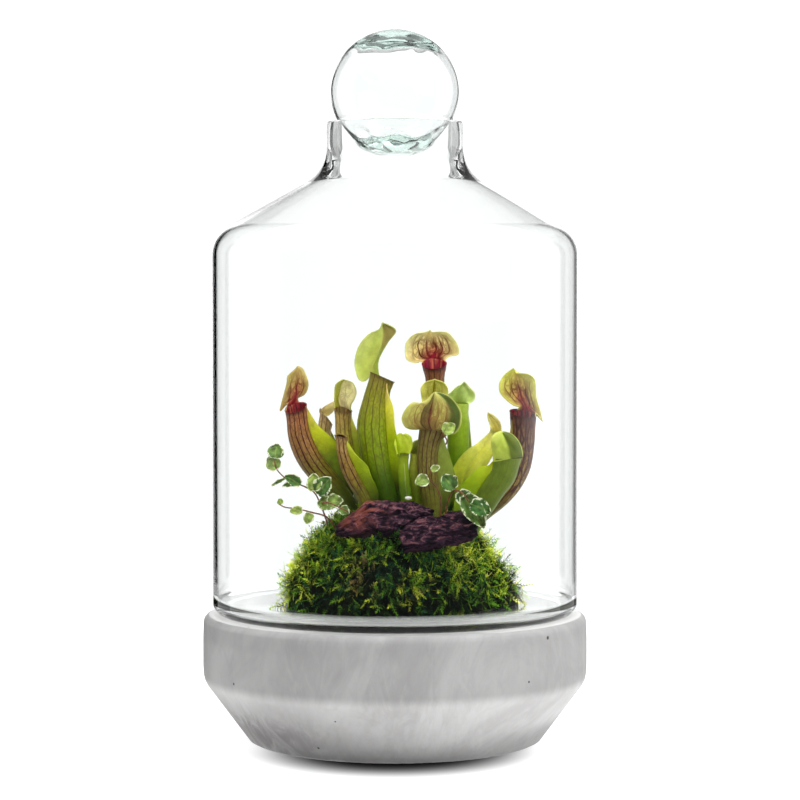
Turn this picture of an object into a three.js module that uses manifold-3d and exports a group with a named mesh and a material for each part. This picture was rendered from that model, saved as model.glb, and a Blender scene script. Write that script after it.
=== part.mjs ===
// A planted glass jar on a concrete bowl: a round-heeled bottle with a hollow glass ball resting
// in its neck, and inside it a moss-covered mound with pitcher plants, bark and creeping fig.
// Millimetres, +Z up. The origin is the middle of the bowl's flat foot, and -Y is the front.
import * as THREE from 'three';
import { mergeVertices } from 'three/addons/utils/BufferGeometryUtils.js';
import Module from 'manifold-3d';

const wasm = await Module();
wasm.setup();

// Concrete bowl
const bowlRadius = 110.1;
const bowlHeight = 73.8;
const bowlFootRadius = 76;
const bowlSlopeFoot = 82.4; // radius where the slope would meet the table
const bowlSlope = 0.747; // outward run for each unit of height
const bowlTopRadius = 105.2;

// Glass jar
const seatGap = 0.3;
const jarFoot = bowlHeight + seatGap;
const jarRadius = 104.8;
const jarWall = 2.6;
const jarFloor = 4.4;
const heelRadius = 6.5;
const shoulderAngle = 29 * Math.PI / 180; // below the horizontal
const shoulderRadius = 20;
const sweepRadius = 22; // hollow sweep between shoulder and neck
const neckRadius = 39.2;
const neckBore = 33;
const jarTop = 355.2;
const shoulderCorner = 290.7; // height where shoulder line and wall would meet

// Hollow ball that closes the neck
const ballRadius = 36.95;
const ballHalfHeight = 35.8;
const ballCentre = 371.9;
const cavityRadius = 35.4;
const cavityHalfHeight = 26.8;
const cavityCentre = 370.3;
const blowHole = 1.6;

// Mound
const floorHeight = jarFoot + jarFloor;
const moundFoot = floorHeight + seatGap;
const soilRadius = 61;
const soilHeight = 53;
const mossRadius = 67;
const mossHeight = 56.5;
const moundPower = 1.8; // 2 would be an ellipse, less is more pointed
const sprigCount = 34;
const tuftSides = 48;
const tuftRings = 12;
const rootRoom = 0.01; // share of a stem's length that its hole goes deeper
const stemGap = 0.45; // room round whatever stands in the moss or the soil

const roundSides = 32;
const ballSides = 24;
const moundSides = 20;
const leafThickness = 0.9;
const tubeSteps = 6;
const hoodNeck = 0.16; // share of a hood's height that still hugs the mouth
const figStemRadius = 0.75;
const sliver = 0.05; // detail finer than this is left out

const up = new THREE.Vector3(0, 0, 1);
const vec = (x, y, z) => new THREE.Vector3(x, y, z);
const degrees = Math.PI / 180;

// Repeatable random numbers from 0 to 1
function makeRandom(seed) {
  let state = seed;
  return () => {
    state = (state * 16807) % 2147483647;
    return (state - 1) / 2147483646;
  };
}

// Closed triangle mesh to solid and back
function toSolid(geometry) {
  const bare = geometry.index ? geometry.clone() : geometry;
  bare.deleteAttribute('normal');
  bare.deleteAttribute('uv');
  const merged = mergeVertices(bare, 1e-4);
  return new wasm.Manifold(new wasm.Mesh({
    numProp: 3,
    vertProperties: new Float32Array(merged.attributes.position.array),
    triVerts: new Uint32Array(merged.index.array),
  }));
}

function toGeometry(solid) {
  const mesh = solid.simplify(sliver).getMesh();
  const geometry = new THREE.BufferGeometry();
  geometry.setAttribute('position', new THREE.BufferAttribute(mesh.vertProperties, 3));
  geometry.setIndex(new THREE.BufferAttribute(mesh.triVerts, 1));
  geometry.computeVertexNormals();
  return geometry;
}

// The biggest body of a solid, so that no loose scrap stays
function largestBody(solid) {
  return solid.decompose().reduce((a, b) => (a.volume() > b.volume() ? a : b));
}

function joinAll(solids) {
  return solids.reduce((whole, piece) => whole.add(piece));
}

// A profile of [radius, height] pairs, from the axis back to the axis, turned about Z
function turned(profile, sides = roundSides) {
  const points = profile.map(([r, z]) => new THREE.Vector2(Math.max(r, 0), z));
  return toSolid(new THREE.LatheGeometry(points, sides).rotateX(Math.PI / 2));
}

// Points of an arc in a profile, with angles in degrees from the outward direction
function arc(r, z, radius, from, to, steps) {
  return Array.from({ length: steps + 1 }, (_, i) => {
    const a = (from + (to - from) * i / steps) * degrees;
    return [r + radius * Math.cos(a), z + radius * Math.sin(a)];
  });
}

function makeBowl() {
  const slopeAt = (z) => bowlSlopeFoot + bowlSlope * z;
  return turned([
    [0, 0],
    [bowlFootRadius, 0],
    [slopeAt(1), 1.4],
    [slopeAt(33.5), 33.5],
    [bowlRadius - 1.2, 39.5],
    [bowlRadius, 50],
    [bowlRadius, 68],
    [bowlRadius - 1.4, 72.2],
    [bowlTopRadius, bowlHeight],
    [0, bowlHeight],
  ]);
}

// Outline of a bottle from its shoulder to its neck, at one distance inside the outer face
function shoulderLine(inset, neck, sweep) {
  const wall = jarRadius - inset;
  const round = shoulderRadius - inset;
  const tangent = Math.tan((90 - shoulderAngle / degrees) / 2 * degrees);
  const lift = inset * (1 / Math.cos(shoulderAngle) - Math.tan(shoulderAngle));
  const corner = shoulderCorner - lift;
  const inner = corner + (wall - neck) * Math.tan(shoulderAngle);
  const lean = 90 - shoulderAngle / degrees;
  return [
    ...arc(wall - round, corner - round * tangent, round, 0, lean, 3),
    ...arc(neck + sweep, inner + sweep * tangent, sweep, lean + 180, 180, 3),
  ];
}

function makeJar() {
  const outside = [
    [0, jarFoot + 1],
    [jarRadius - heelRadius - 9, jarFoot + 1],
    [jarRadius - heelRadius - 5, jarFoot],
    ...arc(jarRadius - heelRadius, jarFoot + heelRadius, heelRadius, -90, 0, 3),
    ...shoulderLine(0, neckRadius, sweepRadius),
    [neckRadius, jarTop],
  ];
  const bore = [
    [neckBore, jarTop],
    ...shoulderLine(jarWall, neckBore, sweepRadius + 4).reverse(),
    ...arc(jarRadius - jarWall - 6, floorHeight + 6, 6, 0, -90, 2),
    [0, floorHeight],
  ];
  return turned([...outside, ...bore]);
}

function makeBall() {
  const ellipse = (r, halfHeight, centre, steps) => (
    arc(0, 0, 1, -90, 90, steps).map(([x, y]) => [x * r, centre + y * halfHeight])
  );
  const outer = ellipse(ballRadius, ballHalfHeight, ballCentre, 10);
  const inner = ellipse(cavityRadius, cavityHalfHeight, cavityCentre, 7);
  const hole = new THREE.CylinderGeometry(blowHole, blowHole, 20, 6).rotateX(Math.PI / 2);
  hole.translate(0, 0, ballCentre - ballHalfHeight + 2);
  return turned(outer, ballSides).subtract(turned(inner, ballSides)).subtract(toSolid(hole));
}

// Height of a mound above its foot, at a distance from the middle
function moundHeight(r, radius, height) {
  const share = Math.min(r / radius, 1) ** moundPower;
  return height * (1 - share) ** (1 / moundPower);
}

function mound(radius, height, skirt = 0) {
  const rings = 6;
  const profile = [[0, moundFoot - skirt], [radius, moundFoot - skirt]];
  for (let i = 0; i <= rings; i++) {
    const r = radius * Math.cos(Math.PI / 2 * i / rings);
    profile.push([r, moundFoot + moundHeight(r, radius, height)]);
  }
  return turned(skirt ? profile : profile.toSpliced(1, 1), moundSides);
}

// Axes at one point of a leaf: along it, to its front and to its side
function frameAt(path, t, facing) {
  const along = path.getTangentAt(Math.min(Math.max(t, 0), 1));
  const front = facing.clone().addScaledVector(along, -facing.dot(along)).normalize();
  return { along, front, side: along.clone().cross(front) };
}

const headingOf = (azimuth) => vec(Math.cos(azimuth * degrees), Math.sin(azimuth * degrees), 0);

// A round rod or trumpet along a path, from a cylinder whose rings are set on it
function rod(path, radiusAt, facing, sides, steps, from = 0, to = 1) {
  const geometry = new THREE.CylinderGeometry(1, 1, 1, sides, steps);
  const position = geometry.attributes.position;
  for (let i = 0; i < position.count; i++) {
    const t = from + (to - from) * (position.getY(i) + 0.5);
    const { along, front, side } = frameAt(path, t, facing);
    const onPath = Math.min(Math.max(t, 0), 1);
    const centre = path.getPointAt(onPath).addScaledVector(along, (t - onPath) * path.getLength());
    centre.addScaledVector(front, position.getZ(i) * radiusAt(t));
    centre.addScaledVector(side, position.getX(i) * radiusAt(t));
    position.setXYZ(i, centre.x, centre.y, centre.z);
  }
  const solid = toSolid(geometry);
  return solid.volume() > 0 ? solid : toSolid(flipped(geometry));
}

function flipped(geometry) {
  const turnedOver = geometry.clone();
  const index = turnedOver.index.array;
  for (let i = 0; i < index.length; i += 3) {
    [index[i], index[i + 1]] = [index[i + 1], index[i]];
  }
  return turnedOver;
}

// A curved sheet of even thickness. place(u, v) gives its middle, and both faces split alike
function sheet(columns, rows, place, thickness = leafThickness) {
  const positions = [];
  const index = [];
  const across = columns + 1;
  const layer = across * (rows + 1);
  const step = 1e-3;
  for (const side of [0.5, -0.5]) {
    for (let j = 0; j <= rows; j++) {
      for (let i = 0; i <= columns; i++) {
        const u = i / columns;
        const v = j / rows;
        const along = place(u, Math.min(v + step, 1)).sub(place(u, Math.max(v - step, 0)));
        const wide = place(Math.min(u + step, 1), v).sub(place(Math.max(u - step, 0), v));
        const normal = wide.cross(along).normalize();
        positions.push(...place(u, v).addScaledVector(normal, side * thickness));
      }
    }
  }
  const quad = (a, b, c, d) => index.push(a, b, d, b, c, d);
  for (let j = 0; j < rows; j++) {
    for (let i = 0; i < columns; i++) {
      const a = j * across + i;
      index.push(a, a + 1, a + across, a + 1, a + across + 1, a + across);
      const b = a + layer;
      index.push(b, b + across, b + 1, b + 1, b + across, b + across + 1);
    }
  }
  const rim = [];
  for (let i = 0; i < columns; i++) rim.push(i);
  for (let j = 0; j < rows; j++) rim.push(j * across + columns);
  for (let i = columns; i > 0; i--) rim.push(rows * across + i);
  for (let j = rows; j > 0; j--) rim.push(j * across);
  rim.forEach((a, k) => {
    const b = rim[(k + 1) % rim.length];
    quad(a, a + layer, b + layer, b);
  });
  const geometry = new THREE.BufferGeometry();
  geometry.setAttribute('position', new THREE.Float32BufferAttribute(positions, 3));
  geometry.setIndex(index);
  const solid = toSolid(geometry);
  return solid.volume() > 0 ? solid : toSolid(flipped(geometry));
}

// Pitcher leaves. stem: points from the root to the mouth's middle. girth: radius at root, belly
// and mouth. faces: heading of the blade down its front in degrees, 0 to the right and -90 to the
// front. wing: how far that blade reaches. hood: heading, height, how far it reaches to the left
// and right of its rib at six even heights, forward lean, how far its halves fold forward in
// degrees, how far its tip shifts to the right, and how far its lower corners hang down.
const pitchers = {
  pitcher_far_left: {
    stem: [
      [-22, -5, 122], [-27, -5, 136], [-38, -5, 149],
      [-48.5, -6, 162], [-54.5, -6, 176], [-56.5, -6, 190.7],
    ],
    girth: [4.5, 7, 5.8], faces: 8, wing: 12,
    hood: {
      faces: -80, tall: 24, left: [7, 6.6, 6.4, 6.4, 5.2, 0.8], right: [5, 5.4, 6.8, 7.4, 6, 0.8],
      lean: -0.1, fold: [-15, 15], shift: 3, hang: [3.5, 0],
    },
  },
  pitcher_back_left: {
    stem: [[-27, 9, 120], [-31, 13, 150], [-40, 15, 172], [-42.8, 15, 183], [-41, 15, 190]],
    girth: [3, 4.4, 3.6], faces: 0, wing: 4, sides: 6,
    hood: {
      faces: -20, tall: 8, left: [3, 4, 4.4, 4, 2.6, 0.5], right: [3, 4, 4.4, 4, 2.6, 0.5],
      lean: 0.8, fold: [25, 25], shift: 0, hang: [0, 0],
    },
  },
  pitcher_left: {
    stem: [[-16, 5, 124], [-20, 6, 142], [-26.5, 6, 160], [-29.5, 6, 176], [-30, 6, 189]],
    girth: [3.4, 4.9, 4.6], faces: -15, wing: 7,
    hood: {
      faces: -85, tall: 18.5, left: [2.9, 3.8, 5.5, 5.9, 4.9, 1], right: [2.9, 4.7, 6.4, 6.8, 5, 1],
      lean: -0.05, fold: [20, 20], shift: 1.5, hang: [0, 0],
    },
  },
  pitcher_low_left: {
    stem: [[-13, -15, 122], [-17, -16, 140], [-24, -16, 156], [-27.6, -16, 167], [-29, -16, 177]],
    girth: [3.6, 5.2, 4.4], faces: -30, wing: 8, sides: 6,
    hood: {
      faces: 10, tall: 5, left: [3, 3.6, 3.6, 3, 2, 0.5], right: [3, 3.6, 3.6, 3, 2, 0.5],
      lean: 1, fold: [30, 30], shift: 0, hang: [0, 0],
    },
  },
  pitcher_tall: {
    stem: [
      [-2, -4, 122], [-4, -5, 140], [-9, -6, 160],
      [-11.5, -5, 180], [-10.5, -3, 196], [-8, -2, 208.3],
    ],
    girth: [7, 10.2, 7.6], faces: -22, wing: 7,
    hood: {
      faces: -82, tall: 32.5, left: [8, 13.5, 15.5, 14, 8, 0.5], right: [3.6, 5, 6, 7, 9.5, 1.4],
      lean: -0.1, fold: [5, 45], shift: 6, hang: [3.5, 0],
    },
  },
  pitcher_red_throat: {
    stem: [[20, 14, 122], [21.5, 17, 150], [23.5, 20, 185], [23.3, 20, 203], [22.8, 20, 215]],
    girth: [4, 5.6, 7], faces: -92, wing: 3,
    hood: {
      faces: -92, tall: 20.5, left: [9, 14.5, 15.4, 13.4, 8.4, 0.6], right: [9, 13, 14.4, 14.4, 13, 8.5],
      lean: 0.15, fold: [15, 12], shift: -2, hang: [3, 2],
    },
  },
  pitcher_front: {
    stem: [[22, -20, 118], [21, -19, 138], [18.5, -19, 155], [18.7, -19, 169], [20.9, -18.5, 180]],
    girth: [4.8, 5.8, 6.4], faces: 8, wing: 10,
    hood: {
      faces: 92, tall: 23, left: [8, 15.4, 16.4, 14.8, 10, 0.6], right: [8, 15.5, 17, 16, 12, 1],
      lean: 0.1, fold: [12, 24], shift: 1, hang: [3.5, 3.5],
    },
  },
  pitcher_behind_front: {
    stem: [[21, 1, 124], [20.5, 1, 150], [20.5, 2, 175], [21.5, 3, 190]],
    girth: [3.2, 4.9, 4.8], faces: -85, wing: 1.5, sides: 6,
    hood: {
      faces: -85, tall: 19, left: [3, 5.5, 7.5, 8.2, 7, 1], right: [3, 5.5, 7.5, 8.2, 7, 1.5],
      lean: 0.1, fold: [20, 20], shift: 1, hang: [0, 0],
    },
  },
  pitcher_green: {
    stem: [[32, 3, 120], [33, 3, 140], [36, 4, 158], [36.5, 4, 178], [36, 4, 194]],
    girth: [4, 6.3, 6], faces: 25, wing: 2.5,
    hood: {
      faces: -30, tall: 13, left: [5, 5.6, 5.4, 4.4, 3, 0.6], right: [4, 7, 7.6, 6.6, 4.2, 0.6],
      lean: 0.3, fold: [30, 20], shift: 2, hang: [0, 1],
    },
  },
  pitcher_small_right: {
    stem: [[36, -9, 118], [38.5, -8, 137], [45, -7, 154], [51, -6, 167], [53.6, -5, 176.5]],
    girth: [3, 4.4, 3.2], faces: 172, wing: 8, sides: 6,
    hood: {
      faces: -110, tall: 12.5, left: [2.4, 3.4, 3.8, 3.2, 2.2, 0.9], right: [2.4, 3.6, 3.8, 3.2, 2.2, 0.9],
      lean: 0, fold: [20, 20], shift: -3.6, hang: [0, 0],
    },
  },
  pitcher_right_front: {
    stem: [[44, -20, 112], [48, -22, 131], [56, -25, 146], [61, -26, 155], [63.3, -26, 163.5]],
    girth: [4, 6.8, 7.4], faces: 178, wing: 10,
    hood: {
      faces: 120, tall: 16, left: [8, 9.4, 9.8, 9.4, 8.2, 4], right: [8, 9, 9.6, 9, 7.8, 4],
      lean: 0.55, fold: [25, 25], shift: -1, hang: [1, 0],
    },
  },
  pitcher_far_right: {
    stem: [
      [42, -4, 112], [48.5, -4, 128], [60.5, -4, 142],
      [69.3, -4, 155], [72.8, -4, 170], [73.2, -4, 187.5],
    ],
    girth: [4.4, 7, 7.1], faces: -150, wing: 4,
    hood: {
      faces: -84, tall: 26.5, left: [6, 10.8, 12, 12, 10, 2.5], right: [9, 8.4, 8.4, 9.4, 8.6, 2],
      lean: -0.08, fold: [6, -15], shift: -4, hang: [1.5, 3.5],
    },
  },
  pitcher_young: {
    stem: [[6, -20, 118], [6.5, -20, 138], [5.2, -20, 152], [4.6, -20, 165.5]],
    girth: [2.2, 3.2, 2.9], faces: -80, wing: 1, sides: 6,
    hood: {
      faces: -85, tall: 12.5, left: [2, 4, 5, 5.2, 4.2, 1.5], right: [2, 4, 5, 5.2, 4.2, 1.5],
      lean: 0, fold: [10, 10], shift: 1.5, hang: [0, 0],
    },
  },
  pitcher_slender: {
    stem: [[13.5, -12.3, 119.5], [12.5, -12, 140], [11, -12, 156], [11.9, -12, 166]],
    girth: [2.2, 3.2, 2.8], faces: 60, wing: 1.5, sides: 6,
    hood: {
      faces: -100, tall: 7.5, left: [2, 2.8, 3, 2.8, 2, 0.9], right: [2, 2.8, 3, 2.8, 2, 0.9],
      lean: 0.2, fold: [10, 10], shift: 1, hang: [0, 0],
    },
  },
};

const pathOf = (points) => new THREE.CatmullRomCurve3(points.map((p) => vec(...p)));

// Radius of a trumpet along its length: thin root, belly at two thirds, mouth
function trumpet([root, belly, mouth]) {
  return (t) => {
    const rise = Math.sin(Math.min(Math.max(t, 0) / 0.66, 1) * Math.PI / 2) ** 1.3;
    const toMouth = Math.max((t - 0.66) / 0.34, 0);
    return root + (belly - root) * rise + (mouth - belly) * toMouth;
  };
}

// The blade that runs down the front of a pitcher
function pitcherWing(path, radiusAt, facing, width) {
  return sheet(1, 6, (u, v) => {
    const t = 0.3 + 0.68 * v;
    const { front } = frameAt(path, t, facing);
    const reach = radiusAt(t) - 0.6 + u * (0.3 + width * Math.sin(Math.PI * v ** 0.8));
    return path.getPointAt(t).addScaledVector(front, reach);
  });
}

// How far a hood reaches to one side of its rib, at any height from 0 to 1
function reachOf(stations) {
  const curve = new THREE.SplineCurve(stations.map((reach, i) => new THREE.Vector2(i, reach)));
  return (v) => curve.getPoint(Math.min(Math.max(v, 0), 1)).y;
}

// The hood: a lobed blade that stands on the back of the mouth
function pitcherHood(path, mouth, hood) {
  const { along, front, side } = frameAt(path, 1, headingOf(hood.faces));
  if (side.x < 0) side.negate();
  const rim = mouth - leafThickness / 2;
  const start = path.getPointAt(1).addScaledVector(front, -rim);
  const reaches = [reachOf(hood.left), reachOf(hood.right)];
  return sheet(4, 5, (u, v) => {
    const w = u * 2 - 1;
    const half = w < 0 ? 0 : 1;
    const rise = v * 1.06 - 0.06;
    const free = Math.min(Math.max(rise / hoodNeck, 0), 1);
    const widest = reaches[half](rise);
    const reach = THREE.MathUtils.lerp(Math.min(widest, rim * 0.75), widest, free);
    const fold = hood.fold[half] * degrees * Math.abs(w);
    const across = reach * Math.abs(w);
    const onRim = rim - Math.sqrt(Math.max(rim ** 2 - across ** 2, 0));
    const hang = hood.hang[half] * w * w * Math.max(1 - rise * 2.2, 0) * free;
    return start.clone()
      .addScaledVector(along, hood.tall * rise - hang)
      .addScaledVector(side, reach * w * Math.cos(fold) + hood.shift * Math.max(rise, 0))
      .addScaledVector(front, onRim * (1 - free) + across * Math.sin(fold) * free)
      .addScaledVector(front, hood.lean * hood.tall * rise ** 2);
  });
}

function makePitcher(spec) {
  const path = pathOf(spec.stem);
  const sides = spec.sides ?? 8;
  const facing = headingOf(spec.faces);
  const radiusAt = trumpet(spec.girth);
  const mouth = spec.girth[2];
  const body = joinAll([
    rod(path, radiusAt, facing, sides, tubeSteps),
    pitcherWing(path, radiusAt, facing, spec.wing),
    pitcherHood(path, mouth, spec.hood),
  ]);
  const inside = rod(path, (t) => radiusAt(t) - leafThickness, facing, sides, 3, 3 / tubeSteps, 1.01);
  return largestBody(body.subtract(inside));
}

// The room that a pitcher needs in the moss and the soil
function pitcherHole(spec) {
  const path = pathOf(spec.stem);
  const radiusAt = trumpet(spec.girth);
  const roomAt = (t) => radiusAt(t) + stemGap;
  return rod(path, roomAt, headingOf(spec.faces), spec.sides ?? 8, 3, -rootRoom, 3 / tubeSteps);
}

// Creeping fig. Each stem runs from its root to its tip. Each leaf: which stem, how far along it,
// heading and slope of its tip, length, and width as a share of that
const figs = {
  fig_left: {
    stems: [
      [
        [-40, -33, 99], [-41.5, -33, 128], [-42.5, -32.5, 139], [-46, -31, 146],
        [-55, -26, 150], [-62, -23, 153], [-67, -20, 158], [-68, -20, 163],
      ],
      [[-42, -33, 139], [-36, -41, 142], [-29, -50, 139], [-23, -53, 134.5]],
    ],
    leaves: [
      [0, 1, 70, 75, 13, 0.8], [0, 0.93, -110, -50, 12, 0.8],
      [0, 0.8, 165, 35, 11, 0.6], [0, 0.67, 100, 45, 15, 0.85],
      [0, 0.55, -70, -15, 14, 0.85], [1, 0.45, 200, -40, 13, 0.85],
      [1, 0.6, -20, 30, 11, 0.8], [1, 0.98, -30, -20, 10, 0.7],
    ],
  },
  fig_left_low: {
    stems: [[[-34, -44, 95], [-38, -44, 114], [-45, -40.5, 127], [-55, -34, 135], [-66, -28, 142]]],
    leaves: [[0, 1, 160, 40, 5, 0.6], [0, 0.84, 165, -10, 8, 0.55], [0, 0.68, 200, -35, 8, 0.7]],
  },
  fig_right: {
    stems: [[[23, -31, 116], [22, -30, 140], [20.5, -31, 157], [22, -32, 168], [27, -33, 177]]],
    leaves: [[0, 1, 10, 50, 8.5, 0.85], [0, 0.72, 150, 25, 6, 0.85], [0, 0.58, 190, -10, 9.5, 0.85]],
  },
  fig_right_trailing: {
    stems: [[
      [27, -33, 114], [27.5, -34, 132], [29, -38, 144.5], [32.5, -43, 149.5],
      [37, -49, 147], [41, -55, 140], [44, -59, 133],
    ]],
    leaves: [
      [0, 0.55, 110, 40, 13, 0.85], [0, 0.68, -10, 20, 14, 0.8], [0, 0.8, -55, -40, 19, 0.75],
      [0, 0.86, 10, 5, 14, 0.8], [0, 0.5, 190, 15, 11, 0.7],
    ],
  },
};

function figLeaf(paths, [stem, along, heading, slope, length, widthShare]) {
  const rise = slope * degrees;
  const tip = headingOf(heading).multiplyScalar(Math.cos(rise)).addScaledVector(up, Math.sin(rise));
  const toLight = vec(0, -1, 0.35).normalize();
  const side = tip.clone().cross(toLight).normalize();
  const face = side.clone().cross(tip);
  const root = paths[stem].getPointAt(along).addScaledVector(tip, -0.2);
  return sheet(2, 4, (u, v) => {
    const w = u * 2 - 1;
    const half = 0.55 + length * widthShare * 0.5 * Math.sin(Math.PI * Math.max(v - 0.12, 0) ** 0.8) ** 0.8;
    return root.clone()
      .addScaledVector(tip, length * v)
      .addScaledVector(side, half * w)
      .addScaledVector(face, length * 0.1 * (w * w - 4 * (v - 0.5) ** 2));
  }, 0.75);
}

function figStem(path, thicker = 0, from = 0) {
  return rod(path, () => figStemRadius + thicker, vec(0, 1, 0), 4, 9, from);
}

function makeFig(spec) {
  const paths = spec.stems.map(pathOf);
  const stems = paths.map((path) => figStem(path));
  const leaves = spec.leaves.map((leaf) => figLeaf(paths, leaf));
  return largestBody(joinAll([...stems, ...leaves]));
}

const figHoles = (spec) => joinAll(spec.stems.map((stem) => figStem(pathOf(stem), stemGap, -rootRoom)));

// Two chips of bark that lean on the front of the mound. Each is a lumpy block
const barkChips = {
  bark_upper: { middle: [-6, -38, 131], size: [54, 13, 22], lean: 42, roll: 5, seed: 11 },
  bark_lower: { middle: [24, -47.5, 124.5], size: [43, 12, 19], lean: 44, roll: -13, seed: 29 },
};

function makeBark({ middle, size, lean, roll, seed }, grow = 0) {
  const geometry = new THREE.BoxGeometry(1, 1, 1, 7, 2, 4);
  const position = geometry.attributes.position;
  const turn = new THREE.Matrix4().makeRotationX(-lean * degrees);
  turn.premultiply(new THREE.Matrix4().makeRotationY(roll * degrees));
  for (let i = 0; i < position.count; i++) {
    const p = vec(position.getX(i), position.getY(i), position.getZ(i));
    const ends = 1 - 1.6 * Math.abs(p.x) ** 2.4;
    const edge = 1 - 0.35 * (2 * Math.abs(p.z)) ** 3;
    const knobs = Math.sin(p.x * 17 + seed) * Math.cos(p.z * 11 + seed * 2);
    const swell = 1 + 0.14 * knobs;
    p.set(
      p.x * (size[0] + grow * 2),
      p.y * (size[1] + grow * 2) * edge * (0.55 + 0.45 * ends) * swell,
      p.z * (size[2] + grow * 2) * (0.35 + 0.65 * ends) * (1 + 0.1 * Math.sin(p.x * 13 + seed)),
    );
    p.applyMatrix4(turn).add(vec(...middle));
    position.setXYZ(i, p.x, p.y, p.z);
  }
  return toSolid(geometry);
}

function makeGrain() {
  const grain = new THREE.IcosahedronGeometry(2, 0);
  grain.scale(1.1, 0.8, 0.6).translate(7.6, -33.5, 142.4);
  return toSolid(grain);
}

// The moss: a mound raised all over into tufts, with longer sprigs that stand out of it
function mossCore() {
  const profile = [vec(0, moundFoot, 0)];
  for (let i = 0; i <= tuftRings; i++) {
    const r = Math.max(mossRadius * Math.cos(Math.PI / 2 * i / tuftRings), 0);
    profile.push(vec(r, moundFoot + moundHeight(r, mossRadius, mossHeight), 0));
  }
  const geometry = new THREE.LatheGeometry(profile, tuftSides).rotateX(Math.PI / 2);
  const position = geometry.attributes.position;
  for (let i = 0; i < position.count; i++) {
    const ring = i % profile.length;
    const column = Math.floor(i / profile.length) % tuftSides;
    const p = vec(position.getX(i), position.getY(i), position.getZ(i));
    const fromAxis = Math.min(Math.hypot(p.x, p.y) / 30, 1);
    const uneven = Math.sin(column * 5.3 + ring * 2.9);
    const isTip = (column + Math.floor(ring / 2)) % 2 === 0 && ring % 2 === 0;
    const raised = isTip ? 5.5 + 2 * uneven : -1.5;
    const outward = vec(p.x, p.y, (p.z - moundFoot) * 0.8).normalize().add(vec(0, 0, 0.5));
    p.addScaledVector(outward, ring > 1 ? raised * fromAxis : 0);
    position.setXYZ(i, p.x, p.y, p.z);
  }
  return toSolid(geometry);
}

function mossSprigs() {
  const random = makeRandom(7);
  const sprigs = [];
  for (let i = 0; i < sprigCount; i++) {
    const share = Math.sqrt((i + 0.5) / sprigCount);
    const angle = i * 2.39996 + random() * 0.3;
    const r = mossRadius * 0.985 * share;
    const surface = moundFoot + moundHeight(r, mossRadius, mossHeight);
    const root = vec(r * Math.cos(angle), r * Math.sin(angle), surface);
    const outward = vec(Math.cos(angle), Math.sin(angle), 0);
    const steep = 0.25 + 1.1 * share ** 2;
    const stray = vec(random() - 0.5, random() - 0.5, 0.8 + random() * 0.5);
    const heading = outward.multiplyScalar(steep).add(stray);
    heading.normalize();
    const long = 12 + random() * 5;
    const sprig = new THREE.ConeGeometry(2 + random() * 0.8, long, 3);
    sprig.translate(0, long / 2 - 2.4, 0);
    sprig.applyQuaternion(new THREE.Quaternion().setFromUnitVectors(vec(0, 1, 0), heading));
    sprig.translate(root.x, root.y, Math.max(root.z, moundFoot + 3.2));
    sprigs.push(toSolid(sprig));
  }
  return joinAll(sprigs);
}

function makeMoss(holes) {
  const under = new THREE.BoxGeometry(300, 300, 40).translate(0, 0, moundFoot - 20);
  const soilRoom = mound(soilRadius + stemGap, soilHeight + stemGap, 1);
  return largestBody(holes.reduce(
    (moss, hole) => moss.subtract(hole),
    mossCore().add(mossSprigs()).subtract(toSolid(under)).subtract(soilRoom),
  ));
}

function makeSoil(holes) {
  const soil = mound(soilRadius, soilHeight);
  return largestBody(holes.reduce((rest, hole) => rest.subtract(hole), soil));
}

const finishes = {
  concrete: { color: '#d3d3d1', roughness: 0.62 },
  glass: { color: '#eef6f3', roughness: 0.02, transparent: true, opacity: 0.25 },
  aquaGlass: { color: '#cfe8df', roughness: 0.02, transparent: true, opacity: 0.3 },
  soil: { color: '#33261d', roughness: 0.95 },
  moss: { color: '#5c7a1e', roughness: 0.9 },
  bark: { color: '#5c3432', roughness: 0.85 },
  perlite: { color: '#e6e2d6', roughness: 0.8 },
  pitcherGreen: { color: '#94ad3f', roughness: 0.45 },
  pitcherRed: { color: '#8a6043', roughness: 0.45 },
  fig: { color: '#5f8f4b', roughness: 0.4 },
};
const redPitchers = [
  'pitcher_far_left', 'pitcher_far_right', 'pitcher_front', 'pitcher_red_throat', 'pitcher_low_left',
];

const terrarium = new THREE.Group();

function place(name, solid, finish) {
  const material = new THREE.MeshStandardMaterial({ metalness: 0, ...finishes[finish] });
  const mesh = new THREE.Mesh(toGeometry(solid), material);
  mesh.name = name;
  terrarium.add(mesh);
}

const stemHoles = [...Object.values(pitchers).map(pitcherHole), ...Object.values(figs).map(figHoles)];
const barkRoom = Object.values(barkChips).map((chip) => makeBark(chip, 0.4));
const upperBark = makeBark(barkChips.bark_upper);
const lowerBark = makeBark(barkChips.bark_lower);

place('concrete_bowl', makeBowl(), 'concrete');
place('glass_jar', makeJar(), 'glass');
place('glass_ball', makeBall(), 'aquaGlass');
place('soil', makeSoil([...stemHoles, ...barkRoom]), 'soil');
place('moss', makeMoss([...stemHoles, ...barkRoom]), 'moss');
place('bark_lower', lowerBark, 'bark');
place('bark_upper', largestBody(upperBark.subtract(barkRoom[1])), 'bark');
place('perlite_grain', makeGrain(), 'perlite');
for (const [name, spec] of Object.entries(pitchers)) {
  place(name, makePitcher(spec), redPitchers.includes(name) ? 'pitcherRed' : 'pitcherGreen');
}
for (const [name, spec] of Object.entries(figs)) place(name, makeFig(spec), 'fig');

export default terrarium;
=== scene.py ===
import bisect
import math
import random

import bpy
from mathutils import Matrix, Vector, noise


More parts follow.
